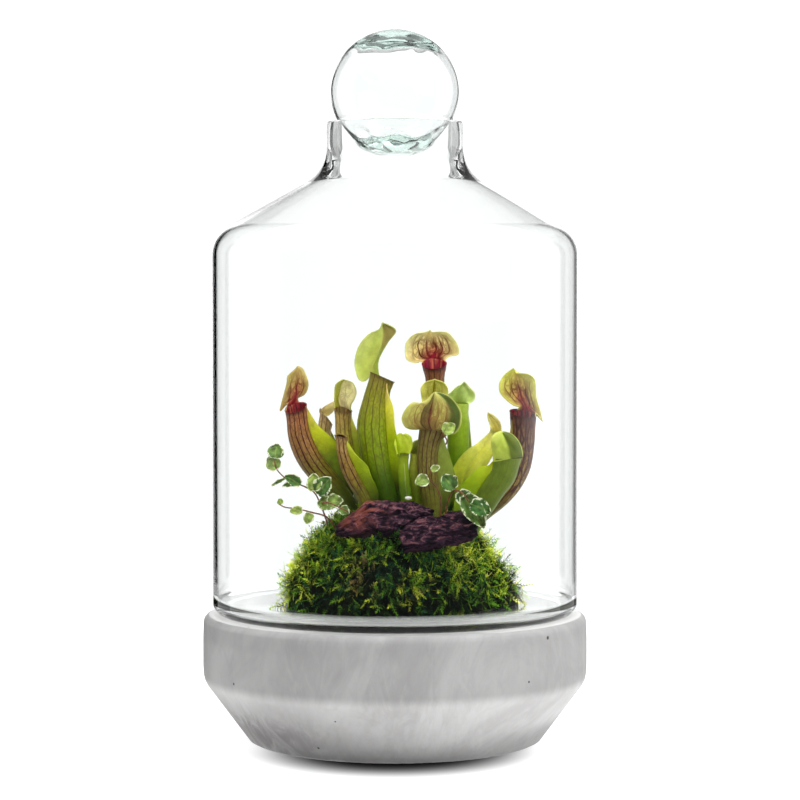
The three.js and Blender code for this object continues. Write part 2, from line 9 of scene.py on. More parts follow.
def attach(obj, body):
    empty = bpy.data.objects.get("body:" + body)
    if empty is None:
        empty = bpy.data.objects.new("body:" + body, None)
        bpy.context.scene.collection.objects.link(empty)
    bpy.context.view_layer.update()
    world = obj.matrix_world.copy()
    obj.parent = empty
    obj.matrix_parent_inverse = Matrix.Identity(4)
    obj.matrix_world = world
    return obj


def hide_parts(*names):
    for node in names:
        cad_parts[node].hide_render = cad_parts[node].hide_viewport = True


mm = 0.001
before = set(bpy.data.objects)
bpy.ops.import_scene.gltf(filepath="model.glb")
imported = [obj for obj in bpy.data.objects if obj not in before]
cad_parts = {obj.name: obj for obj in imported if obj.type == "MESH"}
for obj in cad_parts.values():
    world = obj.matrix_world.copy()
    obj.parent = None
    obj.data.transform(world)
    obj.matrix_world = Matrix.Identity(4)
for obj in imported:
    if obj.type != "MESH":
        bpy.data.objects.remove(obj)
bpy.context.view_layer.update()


def clearSelection():
    if bpy.context.object and bpy.context.object.mode != "OBJECT":
        bpy.ops.object.mode_set(mode="OBJECT")
    bpy.ops.object.select_all(action="DESELECT")


def takeUp(piece):
    clearSelection()
    piece.select_set(True)
    bpy.context.view_layer.objects.active = piece


# mesh operators in edit mode, each on the whole piece
def editAll(piece, *steps):
    takeUp(piece)
    bpy.ops.object.mode_set(mode="EDIT")
    for operator, settings in steps:
        bpy.ops.mesh.select_all(action="SELECT")
        operator(**settings)
    bpy.ops.object.mode_set(mode="OBJECT")


def applyModifier(piece, kind, **settings):
    takeUp(piece)
    modifier = piece.modifiers.new(kind.lower(), kind)
    for setting, value in settings.items():
        setattr(modifier, setting, value)
    bpy.ops.object.modifier_apply(modifier=modifier.name)


def joinPieces(pieces, name):
    clearSelection()
    for piece in pieces:
        piece.select_set(True)
    bpy.context.view_layer.objects.active = pieces[0]
    bpy.ops.object.join()
    joined = bpy.context.object
    joined.name = joined.data.name = name
    return joined


def putInPlace(piece, material, node):
    piece.data.materials.clear()
    piece.data.materials.append(material)
    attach(piece, "root")
    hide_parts(node)


# a closed profile of (radius, height) pairs in mm, spun round the upright axis
def spinProfile(name, profile, steps=128):
    clearSelection()
    bpy.ops.mesh.primitive_circle_add(vertices=len(profile), fill_type="NOTHING")
    piece = bpy.context.object
    piece.name = piece.data.name = name
    for vertex, (radius, height) in zip(piece.data.vertices, profile):
        vertex.co = (radius * mm, 0, height * mm)
    editAll(piece,
            (bpy.ops.mesh.spin, {"steps": steps, "angle": 2 * math.pi, "center": (0, 0, 0), "axis": (0, 0, 1)}),
            (bpy.ops.mesh.remove_doubles, {"threshold": 1e-6}),
            (bpy.ops.mesh.delete_loose, {"use_verts": True, "use_edges": True, "use_faces": False}),
            (bpy.ops.mesh.normals_make_consistent, {"inside": False}))
    bpy.ops.object.shade_smooth_by_angle(angle=math.radians(35))
    return piece


# points of an arc in a profile, angles in degrees from straight out
def arc(radius, height, size, start, end, steps):
    angles = [math.radians(start + (end - start) * i / steps) for i in range(steps + 1)]
    return [(radius + size * math.cos(a), height + size * math.sin(a)) for a in angles]


def mixNumbers(a, b, share):
    return a + (b - a) * share


def smoothStep(low, high, value):
    share = min(max((value - low) / (high - low), 0), 1)
    return share * share * (3 - 2 * share)


# a colour from its six-digit code
def paint(code):
    channels = [int(code[i:i + 2], 16) / 255 for i in (0, 2, 4)]
    return tuple(c / 12.92 if c < 0.04045 else ((c + 0.055) / 1.055) ** 2.4 for c in channels)


def blendPaint(a, b, share):
    return tuple(mixNumbers(x, y, share) for x, y in zip(a, b))


# colour from a list of (place, colour) stops
def rampPaint(stops, value):
    for (low, first), (high, second) in zip(stops, stops[1:]):
        if value <= high:
            return blendPaint(paint(first), paint(second), smoothStep(low, high, value))
    return paint(stops[-1][1])


# for a colour socket
def opaque(code):
    return (*paint(code), 1)


def newMaterial(name, values):
    material = bpy.data.materials.new(name)
    material.use_nodes = True
    shader = material.node_tree.nodes["Principled BSDF"]
    for socket, value in values.items():
        shader.inputs[socket].default_value = value
    return material, material.node_tree, shader


def fillSocket(tree, socket, value):
    if isinstance(value, bpy.types.NodeSocket):
        tree.links.new(value, socket)
    else:
        socket.default_value = value


def addNode(tree, kind, inputs=None, **settings):
    node = tree.nodes.new("ShaderNode" + kind)
    for setting, value in settings.items():
        setattr(node, setting, value)
    for socket, value in (inputs or {}).items():
        fillSocket(tree, node.inputs[socket], value)
    return node


# a smooth step of one value between two limits
def maskNode(tree, value, low, high, start=0.0, end=1.0):
    inputs = {"Value": value, "From Min": low, "From Max": high, "To Min": start, "To Max": end}
    return addNode(tree, "MapRange", inputs, interpolation_type="SMOOTHSTEP").outputs["Result"]


def mixColours(tree, factor, first, second, blend="MIX"):
    node = addNode(tree, "Mix", data_type="RGBA", blend_type=blend)
    for index, value in ((0, factor), (6, first), (7, second)):  # the Mix node's colour sockets
        fillSocket(tree, node.inputs[index], value)
    return node.outputs[2]


def noiseNode(tree, place, scale, detail=4.0, rough=0.55, distortion=0.0, stretch=(1, 1, 1), turn=(0, 0, 0)):
    mapping = addNode(tree, "Mapping", {"Vector": place, "Scale": stretch, "Rotation": turn})
    inputs = {"Vector": mapping.outputs["Vector"], "Scale": scale, "Detail": detail, "Roughness": rough,
              "Distortion": distortion}
    return addNode(tree, "TexNoise", inputs).outputs["Fac"]


def mathNode(tree, operation, first, second=0.0):
    return addNode(tree, "Math", {0: first, 1: second}, operation=operation).outputs[0]


def timesNode(tree, first, second):
    return mathNode(tree, "MULTIPLY", first, second)


def attributeNode(tree, layer, output="Fac"):
    return addNode(tree, "Attribute", attribute_name=layer).outputs[output]


def addBump(tree, shader, height, strength, distance):
    bump = addNode(tree, "Bump", {"Height": height, "Strength": strength, "Distance": distance})
    tree.links.new(bump.outputs["Normal"], shader.inputs["Normal"])


def objectPlace(tree):
    return addNode(tree, "TexCoord").outputs["Object"]


def axesOf(tree, place):
    parts = addNode(tree, "SeparateXYZ", {"Vector": place})
    return [parts.outputs[axis] for axis in "XYZ"]


# camera, light and the table
cameraSetup = {
    "place": (0.0029, -1.5758, 0.2638),
    "tiltDown": 2.457,  # degrees
    "lens": 123.75, "sensor": 36,  # mm
}


def addCamera():
    camera = bpy.data.cameras.new("camera")
    camera.lens = cameraSetup["lens"]
    camera.sensor_width = cameraSetup["sensor"]
    holder = bpy.data.objects.new("camera", camera)
    holder.location = cameraSetup["place"]
    holder.rotation_euler = (math.radians(90 - cameraSetup["tiltDown"]), 0, 0)
    bpy.context.scene.collection.objects.link(holder)
    bpy.context.scene.camera = holder


# a white backdrop; the glass mirrors a dark studio in front of it
lightSetup = {
    "leftLight": 0.6, "rightLight": 1.25, "horizon": 0.6, "zenith": 2.3, "backdrop": 1.2, "studio": 0.03,
    "top": {"power": 10, "size": 1.4, "place": (0.1, -0.15, 1.4), "aim": (0, 0, 0.15)},
    "right": {"power": 4, "size": 1.2, "place": (1.3, -0.9, 0.8), "aim": (0, 0, 0.2)},
}


def addLights():
    world = bpy.data.worlds.new("studio")
    world.use_nodes = True
    tree = world.node_tree
    backdrop = tree.nodes["Background"]
    x, y, z = axesOf(tree, addNode(tree, "TexCoord").outputs["Generated"])
    rays = addNode(tree, "LightPath")
    mirrored = maskNode(tree, y, -0.3, 0.3, lightSetup["studio"], lightSetup["backdrop"])
    lit = maskNode(tree, x, -0.9, 0.7, lightSetup["leftLight"], lightSetup["rightLight"])
    lit = timesNode(tree, lit, maskNode(tree, z, -0.1, 0.9, lightSetup["horizon"], lightSetup["zenith"]))
    isMirror = mathNode(tree, "MINIMUM", rays.outputs["Glossy Depth"], 1.0)
    isLit = mathNode(tree, "MINIMUM", rays.outputs["Diffuse Depth"], 1.0)
    seen = addNode(tree, "Mix", {0: isMirror, 2: lightSetup["backdrop"], 3: mirrored}).outputs[0]
    strength = addNode(tree, "Mix", {0: isLit, 2: seen, 3: lit}).outputs[0]
    tree.links.new(strength, backdrop.inputs["Strength"])
    backdrop.inputs["Color"].default_value = (1, 1, 1, 1)
    bpy.context.scene.world = world
    for name in ("top", "right"):
        setup = lightSetup[name]
        lamp = bpy.data.lights.new(name + "Light", "AREA")
        lamp.energy = setup["power"]
        lamp.size = setup["size"]
        holder = bpy.data.objects.new(name + "Light", lamp)
        holder.location = setup["place"]
        aim = Vector(setup["aim"]) - holder.location
        holder.rotation_euler = aim.to_track_quat("-Z", "Y").to_euler()
        holder.visible_glossy = False
        bpy.context.scene.collection.objects.link(holder)


# a white sweep, with a soft painted shadow on it before the bowl's foot
tableSetup = {
    "radius": 0.5, "place": (0, 0.17, -0.0004),
    "shadeMove": (0, 2.46, 0), "shadeScale": (11.9, 11.6, 0), "shadeEdges": (0.36, 1.04), "shadePower": 2.0,
    "base": ((0.02, 0.02, 0.02, 1), (0.32, 0.32, 0.32, 1)), "glow": ((0, 0, 0, 1), (0.85, 0.85, 0.85, 1)),
}


def addTable():
    clearSelection()
    bpy.ops.mesh.primitive_circle_add(vertices=96, radius=tableSetup["radius"], fill_type="NGON",
                                      location=tableSetup["place"])
    table = bpy.context.object
    table.name = "table"
    lacquer, tree, shader = newMaterial("tableLacquer", {
        "Roughness": 0.7, "Specular IOR Level": 0.2, "Emission Strength": 1.0})
    reach = addNode(tree, "Mapping", {
        "Vector": objectPlace(tree), "Location": tableSetup["shadeMove"], "Scale": tableSetup["shadeScale"]})
    reach = addNode(tree, "VectorMath", {0: reach.outputs["Vector"]}, operation="LENGTH").outputs["Value"]
    # the painted shadow: darkest just before the bowl's foot, fading outwards
    shade = mathNode(tree, "POWER", maskNode(tree, reach, *tableSetup["shadeEdges"]), tableSetup["shadePower"])
    for socket, colours in (("Base Color", "base"), ("Emission Color", "glow")):
        tree.links.new(mixColours(tree, shade, *tableSetup[colours]), shader.inputs[socket])
    table.data.materials.append(lacquer)
    table.visible_glossy = False


# dark cards beside the backdrop, which only the glass sees, for its edge lines
cards = {
    "leftCard": {"from": -0.39, "to": -0.72, "grey": 0.0},
    "rightCard": {"from": 0.40, "to": 0.60, "grey": 0.14},
    "leftFar": {"from": -0.72, "to": -1.5, "grey": 0.5},
    "rightFar": {"from": 0.60, "to": 1.5, "grey": 0.55},
    "upper": {"from": -1.5, "to": 1.5, "grey": 0.3, "foot": 0.66},
}
cardStand = {"behind": 1.0, "tall": 1.2, "foot": -0.2}


def addCards():
    for name, setup in cards.items():
        clearSelection()
        bpy.ops.mesh.primitive_plane_add(size=1)
        card = bpy.context.object
        card.name = name
        width = abs(setup["to"] - setup["from"])
        middle = (setup["from"] + setup["to"]) / 2
        foot = setup.get("foot", cardStand["foot"])
        move = Matrix.Translation((middle, cardStand["behind"], foot + cardStand["tall"] / 2))
        stand = move @ Matrix.Rotation(math.radians(90), 4, "X")
        card.data.transform(stand @ Matrix.Diagonal((width, cardStand["tall"], 1, 1)))
        grey = (setup["grey"],) * 3 + (1,)
        felt = newMaterial(name + "Felt", {
            "Base Color": (0, 0, 0, 1), "Specular IOR Level": 0.0, "Emission Color": grey, "Emission Strength": 1})[0]
        card.data.materials.append(felt)
        card.visible_camera = False
        card.visible_diffuse = False
        card.visible_shadow = False


# lengths and heights in mm
bowl = {
    "radius": 110.1, "height": 73.8, "foot": 76, "slopeFoot": 82.4, "slope": 0.747, "topRadius": 105.2,
    "pale": (0.34, 0.34, 0.338, 1), "grey": (0.272, 0.268, 0.267, 1),
    # top: the colour of the painted light on the flat top
    "dark": (0.11, 0.1, 0.1, 1), "top": (0.55, 0.55, 0.545, 1),
    "lean": -26,  # of the swirls, in degrees
    "band": 0.2, "slopeGlow": 1.65, "footShade": 0.5,  # how strong the painted shade under the rim, the painted light on the slope and the painted shade at the foot are
    "pinholes": [(-89.1, -64.7, 41.9, 0.45), (-41.8, -78.4, 8.6, 0.4), (-32.1, -96.7, 26.1, 0.3),
                 (-80.5, -67.7, 73.8, 0.35), (84.3, -70.8, 68.3, 0.6), (73.3, -82.1, 45.6, 0.35)],  # x, y, z, radius
    "pinholeDark": (0.04, 0.04, 0.04, 1),
}


def makeConcrete():
    material, tree, shader = newMaterial("castConcrete", {"Roughness": 0.5, "Specular IOR Level": 0.35})
    place = objectPlace(tree)
    x, y, z = axesOf(tree, place)
    lean = (0, math.radians(bowl["lean"]), 0)

    def span(axis, low, high, start=0.0, end=1.0):
        return maskNode(tree, axis, low * mm, high * mm, start, end)

    cloud = noiseNode(tree, place, 13, 5, 0.6, 2.4, stretch=(1, 1, 0.7), turn=lean)
    streak = noiseNode(tree, place, 55, 6, 0.65, 1.8, stretch=(1, 1, 0.3), turn=lean)
    fine = noiseNode(tree, place, 300, 5, 0.7, 0.4, stretch=(1, 1, 0.3), turn=lean)
    swirl = noiseNode(tree, place, 15, 5, 0.6, 2.2, stretch=(1, 1, 0.4), turn=lean)
    brushed = noiseNode(tree, place, 90, 4, 0.6, 0.3, stretch=(1, 1, 0.15))
    colour = mixColours(tree, maskNode(tree, cloud, 0.36, 0.66), bowl["grey"], bowl["pale"])
    colour = mixColours(tree, maskNode(tree, streak, 0.46, 0.68, 0, 0.6), colour, bowl["pale"])
    colour = mixColours(tree, maskNode(tree, fine, 0.48, 0.72, 0, 0.28), colour, bowl["grey"])
    ring = mathNode(tree, "ABSOLUTE", mathNode(tree, "SUBTRACT", swirl, 0.5))
    colour = mixColours(tree, maskNode(tree, ring, 0.05, 0.0, 0, 0.08), colour, bowl["dark"])
    # painted shade under the rim, broken by streaks, most of it at the left
    band = timesNode(tree, timesNode(tree, span(z, 58.5, 64), span(z, 71.2, 69.8)), span(x, -20, -100, 0.12, 1.0))
    band = timesNode(tree, band, maskNode(tree, brushed, 0.3, 0.7, 0.45, 0.95))
    colour = mixColours(tree, timesNode(tree, band, bowl["band"]), colour, bowl["dark"])
    # painted light on the slope, as thrown up from the white table, and painted shade near the foot at both sides
    nearFoot = timesNode(tree, span(z, 28, 5), span(mathNode(tree, "ABSOLUTE", x), 30, 85))
    colour = mixColours(tree, 1.0, colour, span(z, 41, 34, 1, bowl["slopeGlow"]), "MULTIPLY")
    colour = mixColours(tree, 1.0, colour, maskNode(tree, nearFoot, 0, 1, 1, bowl["footShade"]), "MULTIPLY")
    # darker low down at the left
    low = timesNode(tree, span(z, 42, 12), span(x, 0, -70))
    low = timesNode(tree, low, maskNode(tree, streak, 0.35, 0.65, 0.5, 0.8))
    colour = mixColours(tree, low, colour, bowl["dark"])
    # painted light on the flat top, where light falls from above, less of it at the front as painted shade of the jar
    topLightPaint = mixColours(tree, span(y, -80, -100), bowl["top"], bowl["pale"])
    colour = mixColours(tree, span(z, 73.5, 73.8), colour, topLightPaint)
    pore = 0.0
    for *spot, size in bowl["pinholes"]:
        apart = addNode(tree, "VectorMath", {0: place, 1: [c * mm for c in spot]}, operation="DISTANCE")
        pore = mathNode(tree, "MAXIMUM", span(apart.outputs["Value"], size * 2.2, size * 1.2), pore)
    colour = mixColours(tree, pore, colour, bowl["pinholeDark"])
    tree.links.new(colour, shader.inputs["Base Color"])
    tree.links.new(maskNode(tree, streak, 0.3, 0.8, 0.42, 0.62), shader.inputs["Roughness"])
    addBump(tree, shader, mathNode(tree, "SUBTRACT", timesNode(tree, fine, 0.2), pore), 0.25, 0.0006)
    return material


def makeBowl():
    foot, radius, height, top = bowl["foot"], bowl["radius"], bowl["height"], bowl["topRadius"]

    def onSlope(z):
        return bowl["slopeFoot"] + bowl["slope"] * z, z

    profile = [(0, 0), (foot - 3, 0), (foot, 0), (onSlope(0)[0] - 3.2, 0.25), (onSlope(0.2)[0] - 1.2, 0.9)]
    profile += [onSlope(z) for z in (2.2, 12, 24, 31, 34)]
    # the rounded corner, the upright side and the rounded rim, by how far each point lies inside the radius
    for inset, z in ((0.9, 36.8), (0.3, 39.6), (0, 45), (0, 52), (0, 60), (0.2, 67), (0.25, 69.8), (0.9, 71.7),
                     (2.0, 73.0), (3.4, 73.7)):
        profile.append((radius - inset, z))
    profile += [(top - 1, height), (top - 12, height), (0, height)]
    piece = spinProfile("concreteBowl", profile, 160)
    applyModifier(piece, "BEVEL", width=0.3 * mm, segments=2, limit_method="ANGLE", angle_limit=math.radians(30))
    putInPlace(piece, makeConcrete(), "concrete_bowl")


# lengths in mm, angles in degrees
jar = {
    "foot": 74.1, "radius": 104.8, "wall": 2.6, "floor": 4.4, "heel": 6.5, "shoulderAngle": 29, "shoulderRound": 20,
    "sweep": 22, "neck": 39.2, "bore": 33, "top": 355.2, "corner": 290.7,
    "punt": 1.2, "outerLip": 1.2, "innerLip": 0.9, "floorRound": 6,
}
ball = {
    "radius": 36.95, "halfHeight": 35.8, "centre": 371.9, "cavity": 35.5, "cavityTop": 37.3, "cavityFoot": 42.5,
    "poolBelow": [(0, -28.4), (14, -28.2), (20, -27.7), (23, -26.9), (25, -25.7)],
    "poolAbove": [(27.2, 22.9), (25.6, 24.1), (23, 25), (17, 25.6), (9, 25.9), (0, 26)],
    "tint": (0.52, 0.76, 0.68, 1), "density": 17.0,
}
glassLook = {"Base Color": (0.985, 1, 0.995, 1), "Roughness": 0.0, "IOR": 1.5, "Transmission Weight": 1.0}


# from the wall up over the shoulder and the hollow sweep to the neck
def shoulderLine(inset, neck, sweep):
    lean = math.radians(jar["shoulderAngle"])
    wall = jar["radius"] - inset
    bend = jar["shoulderRound"] - inset
    tangent = math.tan((math.pi / 2 - lean) / 2)
    corner = jar["corner"] - inset * (1 / math.cos(lean) - math.tan(lean))
    inner = corner + (wall - neck) * math.tan(lean)
    rest = 90 - jar["shoulderAngle"]
    return (arc(wall - bend, corner - bend * tangent, bend, 0, rest, 14)
            + arc(neck + sweep, inner + sweep * tangent, sweep, rest + 180, 180, 14))


def makeJar():
    foot, radius, heel, wall, top = (jar[key] for key in ("foot", "radius", "heel", "wall", "top"))
    punt, outerLip, innerLip, floorRound = (jar[key] for key in ("punt", "outerLip", "innerLip", "floorRound"))
    inside = foot + jar["floor"]
    outline = [(0, foot + punt), (radius - heel - 14, foot + punt), (radius - heel - 7, foot + 0.5)]
    outline += arc(radius - heel, foot + heel, heel, -90, 0, 12)
    outline += shoulderLine(0, jar["neck"], jar["sweep"])
    outline += arc(jar["neck"] - outerLip, top - outerLip, outerLip, 0, 90, 4)
    outline += arc(jar["bore"] + innerLip, top - innerLip, innerLip, 90, 180, 4)
    outline += shoulderLine(wall, jar["bore"], jar["sweep"] + 4)[::-1]
    outline += arc(radius - wall - floorRound, inside + floorRound, floorRound, 0, -90, 10)
    outline += [(0, inside)]
    piece = spinProfile("glassJar", outline, 160)
    piece.visible_shadow = False
    glass = newMaterial("clearGlass", {**glassLook, "Specular IOR Level": 0.15})[0]
    putInPlace(piece, glass, "glass_jar")
    # the floor inside is wet, so it mirrors the moss
    wet = newMaterial("wetGlass", {
        **glassLook, "Specular IOR Level": 0.5, "Coat Weight": 1.0, "Coat Roughness": 0.02, "Coat IOR": 1.6})[0]
    piece.data.materials.append(wet)
    for face in piece.data.polygons:
        if face.normal.z > 0.99 and abs(face.center.z - inside * mm) < 0.1 * mm:
            face.material_index = 1


def makeBall():
    outer = [(x * ball["radius"], ball["centre"] + y * ball["halfHeight"]) for x, y in arc(0, 0, 1, -90, 90, 48)]
    shell = spinProfile("glassBall", outer)
    # round sides with thick flat pools of glass above and below
    sides = arc(0, 0, ball["cavity"], -ball["cavityFoot"], ball["cavityTop"], 40)
    hollow = [(x, ball["centre"] + y) for x, y in ball["poolBelow"] + sides + ball["poolAbove"]]
    cavity = spinProfile("ballCavity", hollow)
    # the blown cavity is a little uneven, most of all at its pools
    for vertex in cavity.data.vertices:
        place = vertex.co / (30 * mm)
        vertex.co += Vector((vertex.co.x, vertex.co.y, 0)).normalized() * noise.noise(place) * 0.25 * mm
        vertex.co.z += noise.noise(place * 1.3 + Vector((3, 1, 2))) * 0.8 * mm
        pool = smoothStep(20, 24, abs(vertex.co.z / mm - ball["centre"]))
        vertex.co.z += noise.noise(place * 3.6 + Vector((7, 4, 1))) * pool * 1.5 * mm
    editAll(cavity, (bpy.ops.mesh.flip_normals, {}))
    piece = joinPieces([shell, cavity], "glassBall")
    bpy.ops.object.shade_smooth()
    piece.visible_shadow = False
    glass, tree = newMaterial("aquaGlass", {
        **glassLook, "Base Color": (0.99, 1, 1, 1), "Specular IOR Level": 0.3})[:2]
    tint = addNode(tree, "VolumeAbsorption", {"Color": ball["tint"], "Density": ball["density"]})
    tree.links.new(tint.outputs["Volume"], tree.nodes["Material Output"].inputs["Volume"])
    putInPlace(piece, glass, "glass_ball")


# a smooth route through points in mm, asked by its share of the length
def routeOf(points, steps=24):
    stops = [Vector(point) * mm for point in points]
    stops = [stops[0] * 2 - stops[1]] + stops + [stops[-1] * 2 - stops[-2]]
    line = []
    for a, b, c, d in zip(stops, stops[1:], stops[2:], stops[3:]):
        square, cube = 2 * a - 5 * b + 4 * c - d, 3 * b - a - 3 * c + d
        for i in range(steps):
            s = i / steps
            line.append(0.5 * (2 * b + (c - a) * s + square * s ** 2 + cube * s ** 3))
    line.append(stops[-2])
    lengths = [0]
    for p, q in zip(line, line[1:]):
        lengths.append(lengths[-1] + (q - p).length)

    def at(share):
        goal = min(max(share, 0), 1) * lengths[-1]
        i = min(max(bisect.bisect_right(lengths, goal) - 1, 0), len(line) - 2)
        return line[i].lerp(line[i + 1], (goal - lengths[i]) / max(lengths[i + 1] - lengths[i], 1e-9))

    at.length = lengths[-1]
    return at


def alongAt(route, share):
    return (route(share + 0.02) - route(share - 0.02)).normalized()


def headingVector(heading):
    return Vector((math.cos(math.radians(heading)), math.sin(math.radians(heading)), 0))


# the stem's direction, its front, and its side
def tubeFrame(route, share, facing):
    along = alongAt(route, share)
    front = (facing - along * facing.dot(along)).normalized()
    return along, front, along.cross(front)


# a grid whose points go where place(u, v) says, u across and v along; shade(u, v) gives each
# point's colour, how strongly its veins show, and how far they run in ribs
def placedGrid(name, columns, rows, place, shade, cells=(1, 1)):
    clearSelection()
    bpy.ops.mesh.primitive_grid_add(x_subdivisions=columns, y_subdivisions=rows, size=1)
    piece = bpy.context.object
    piece.name = piece.data.name = name
    spots = [(vertex.co.x + 0.5, vertex.co.y + 0.5) for vertex in piece.data.vertices]
    for layer, kind in (("skin", "FLOAT_COLOR"), ("vein", "FLOAT"), ("ribbed", "FLOAT")):
        piece.data.attributes.new(layer, kind, "POINT")
    skin, vein, ribbed = (piece.data.attributes[layer].data for layer in ("skin", "vein", "ribbed"))
    for i, (u, v) in enumerate(spots):
        piece.data.vertices[i].co = place(u, v)
        colour, vein[i].value, ribbed[i].value = shade(u, v)
        skin[i].color = (*colour, 1)
    for corner in piece.data.uv_layers.active.data:
        corner.uv = (corner.uv[0] * cells[0], corner.uv[1] * cells[1])
    return piece


def mergeGrid(piece):
    editAll(piece, (bpy.ops.mesh.remove_doubles, {"threshold": 2e-5}),
            (bpy.ops.mesh.normals_make_consistent, {"inside": False}))


def thicken(piece, thickness):
    applyModifier(piece, "SOLIDIFY", thickness=thickness * mm, offset=0)
    return piece


# a node's name after its first word, in camelCase
def leafName(start, node):
    return start + "".join(word.title() for word in node.split("_")[1:])


# stem: from root to the mouth's middle. girth: radius at root, belly and mouth. faces: heading of
# the wing. wing: its reach. dip: how far the lip sinks on its dipTo side, where spout draws it out.
# lip: how thick it rolls. flare: how much wider the mouth is, from flareFrom up the tube.
# Colours run from the bottom up. Headings are in degrees, 0 to the right and -90 to the front, and
# lengths in mm.
# hood: open is where it opens to. left, rib and right are its edges and middle as (right, up) from
# the mouth. cup curls its sides, lean tips it, fold turns its right side. neck: how far round the
# mouth it stands to left and right, turned by neckTurn. keel: width, height and shift of the strip
# on its back, in the colour centre, with a line along the rib. rightPaint: its right side from
# rightFrom on, rightLow below. vein and throat: how strong the veins and the red are.
usualPitcher = {
    "spout": 0, "lip": 1, "flare": 0.5, "flareFrom": 0.88, "wingPaint": [(0, "3e5414"), (1, "98a450")],
}
usualHood = {
    "open": -90, "neck": (82, 82), "neckTurn": 0, "keel": (0, 0, 0), "line": 0.75, "fold": 0, "rightFrom": 0.5,
    "throat": 0,
}
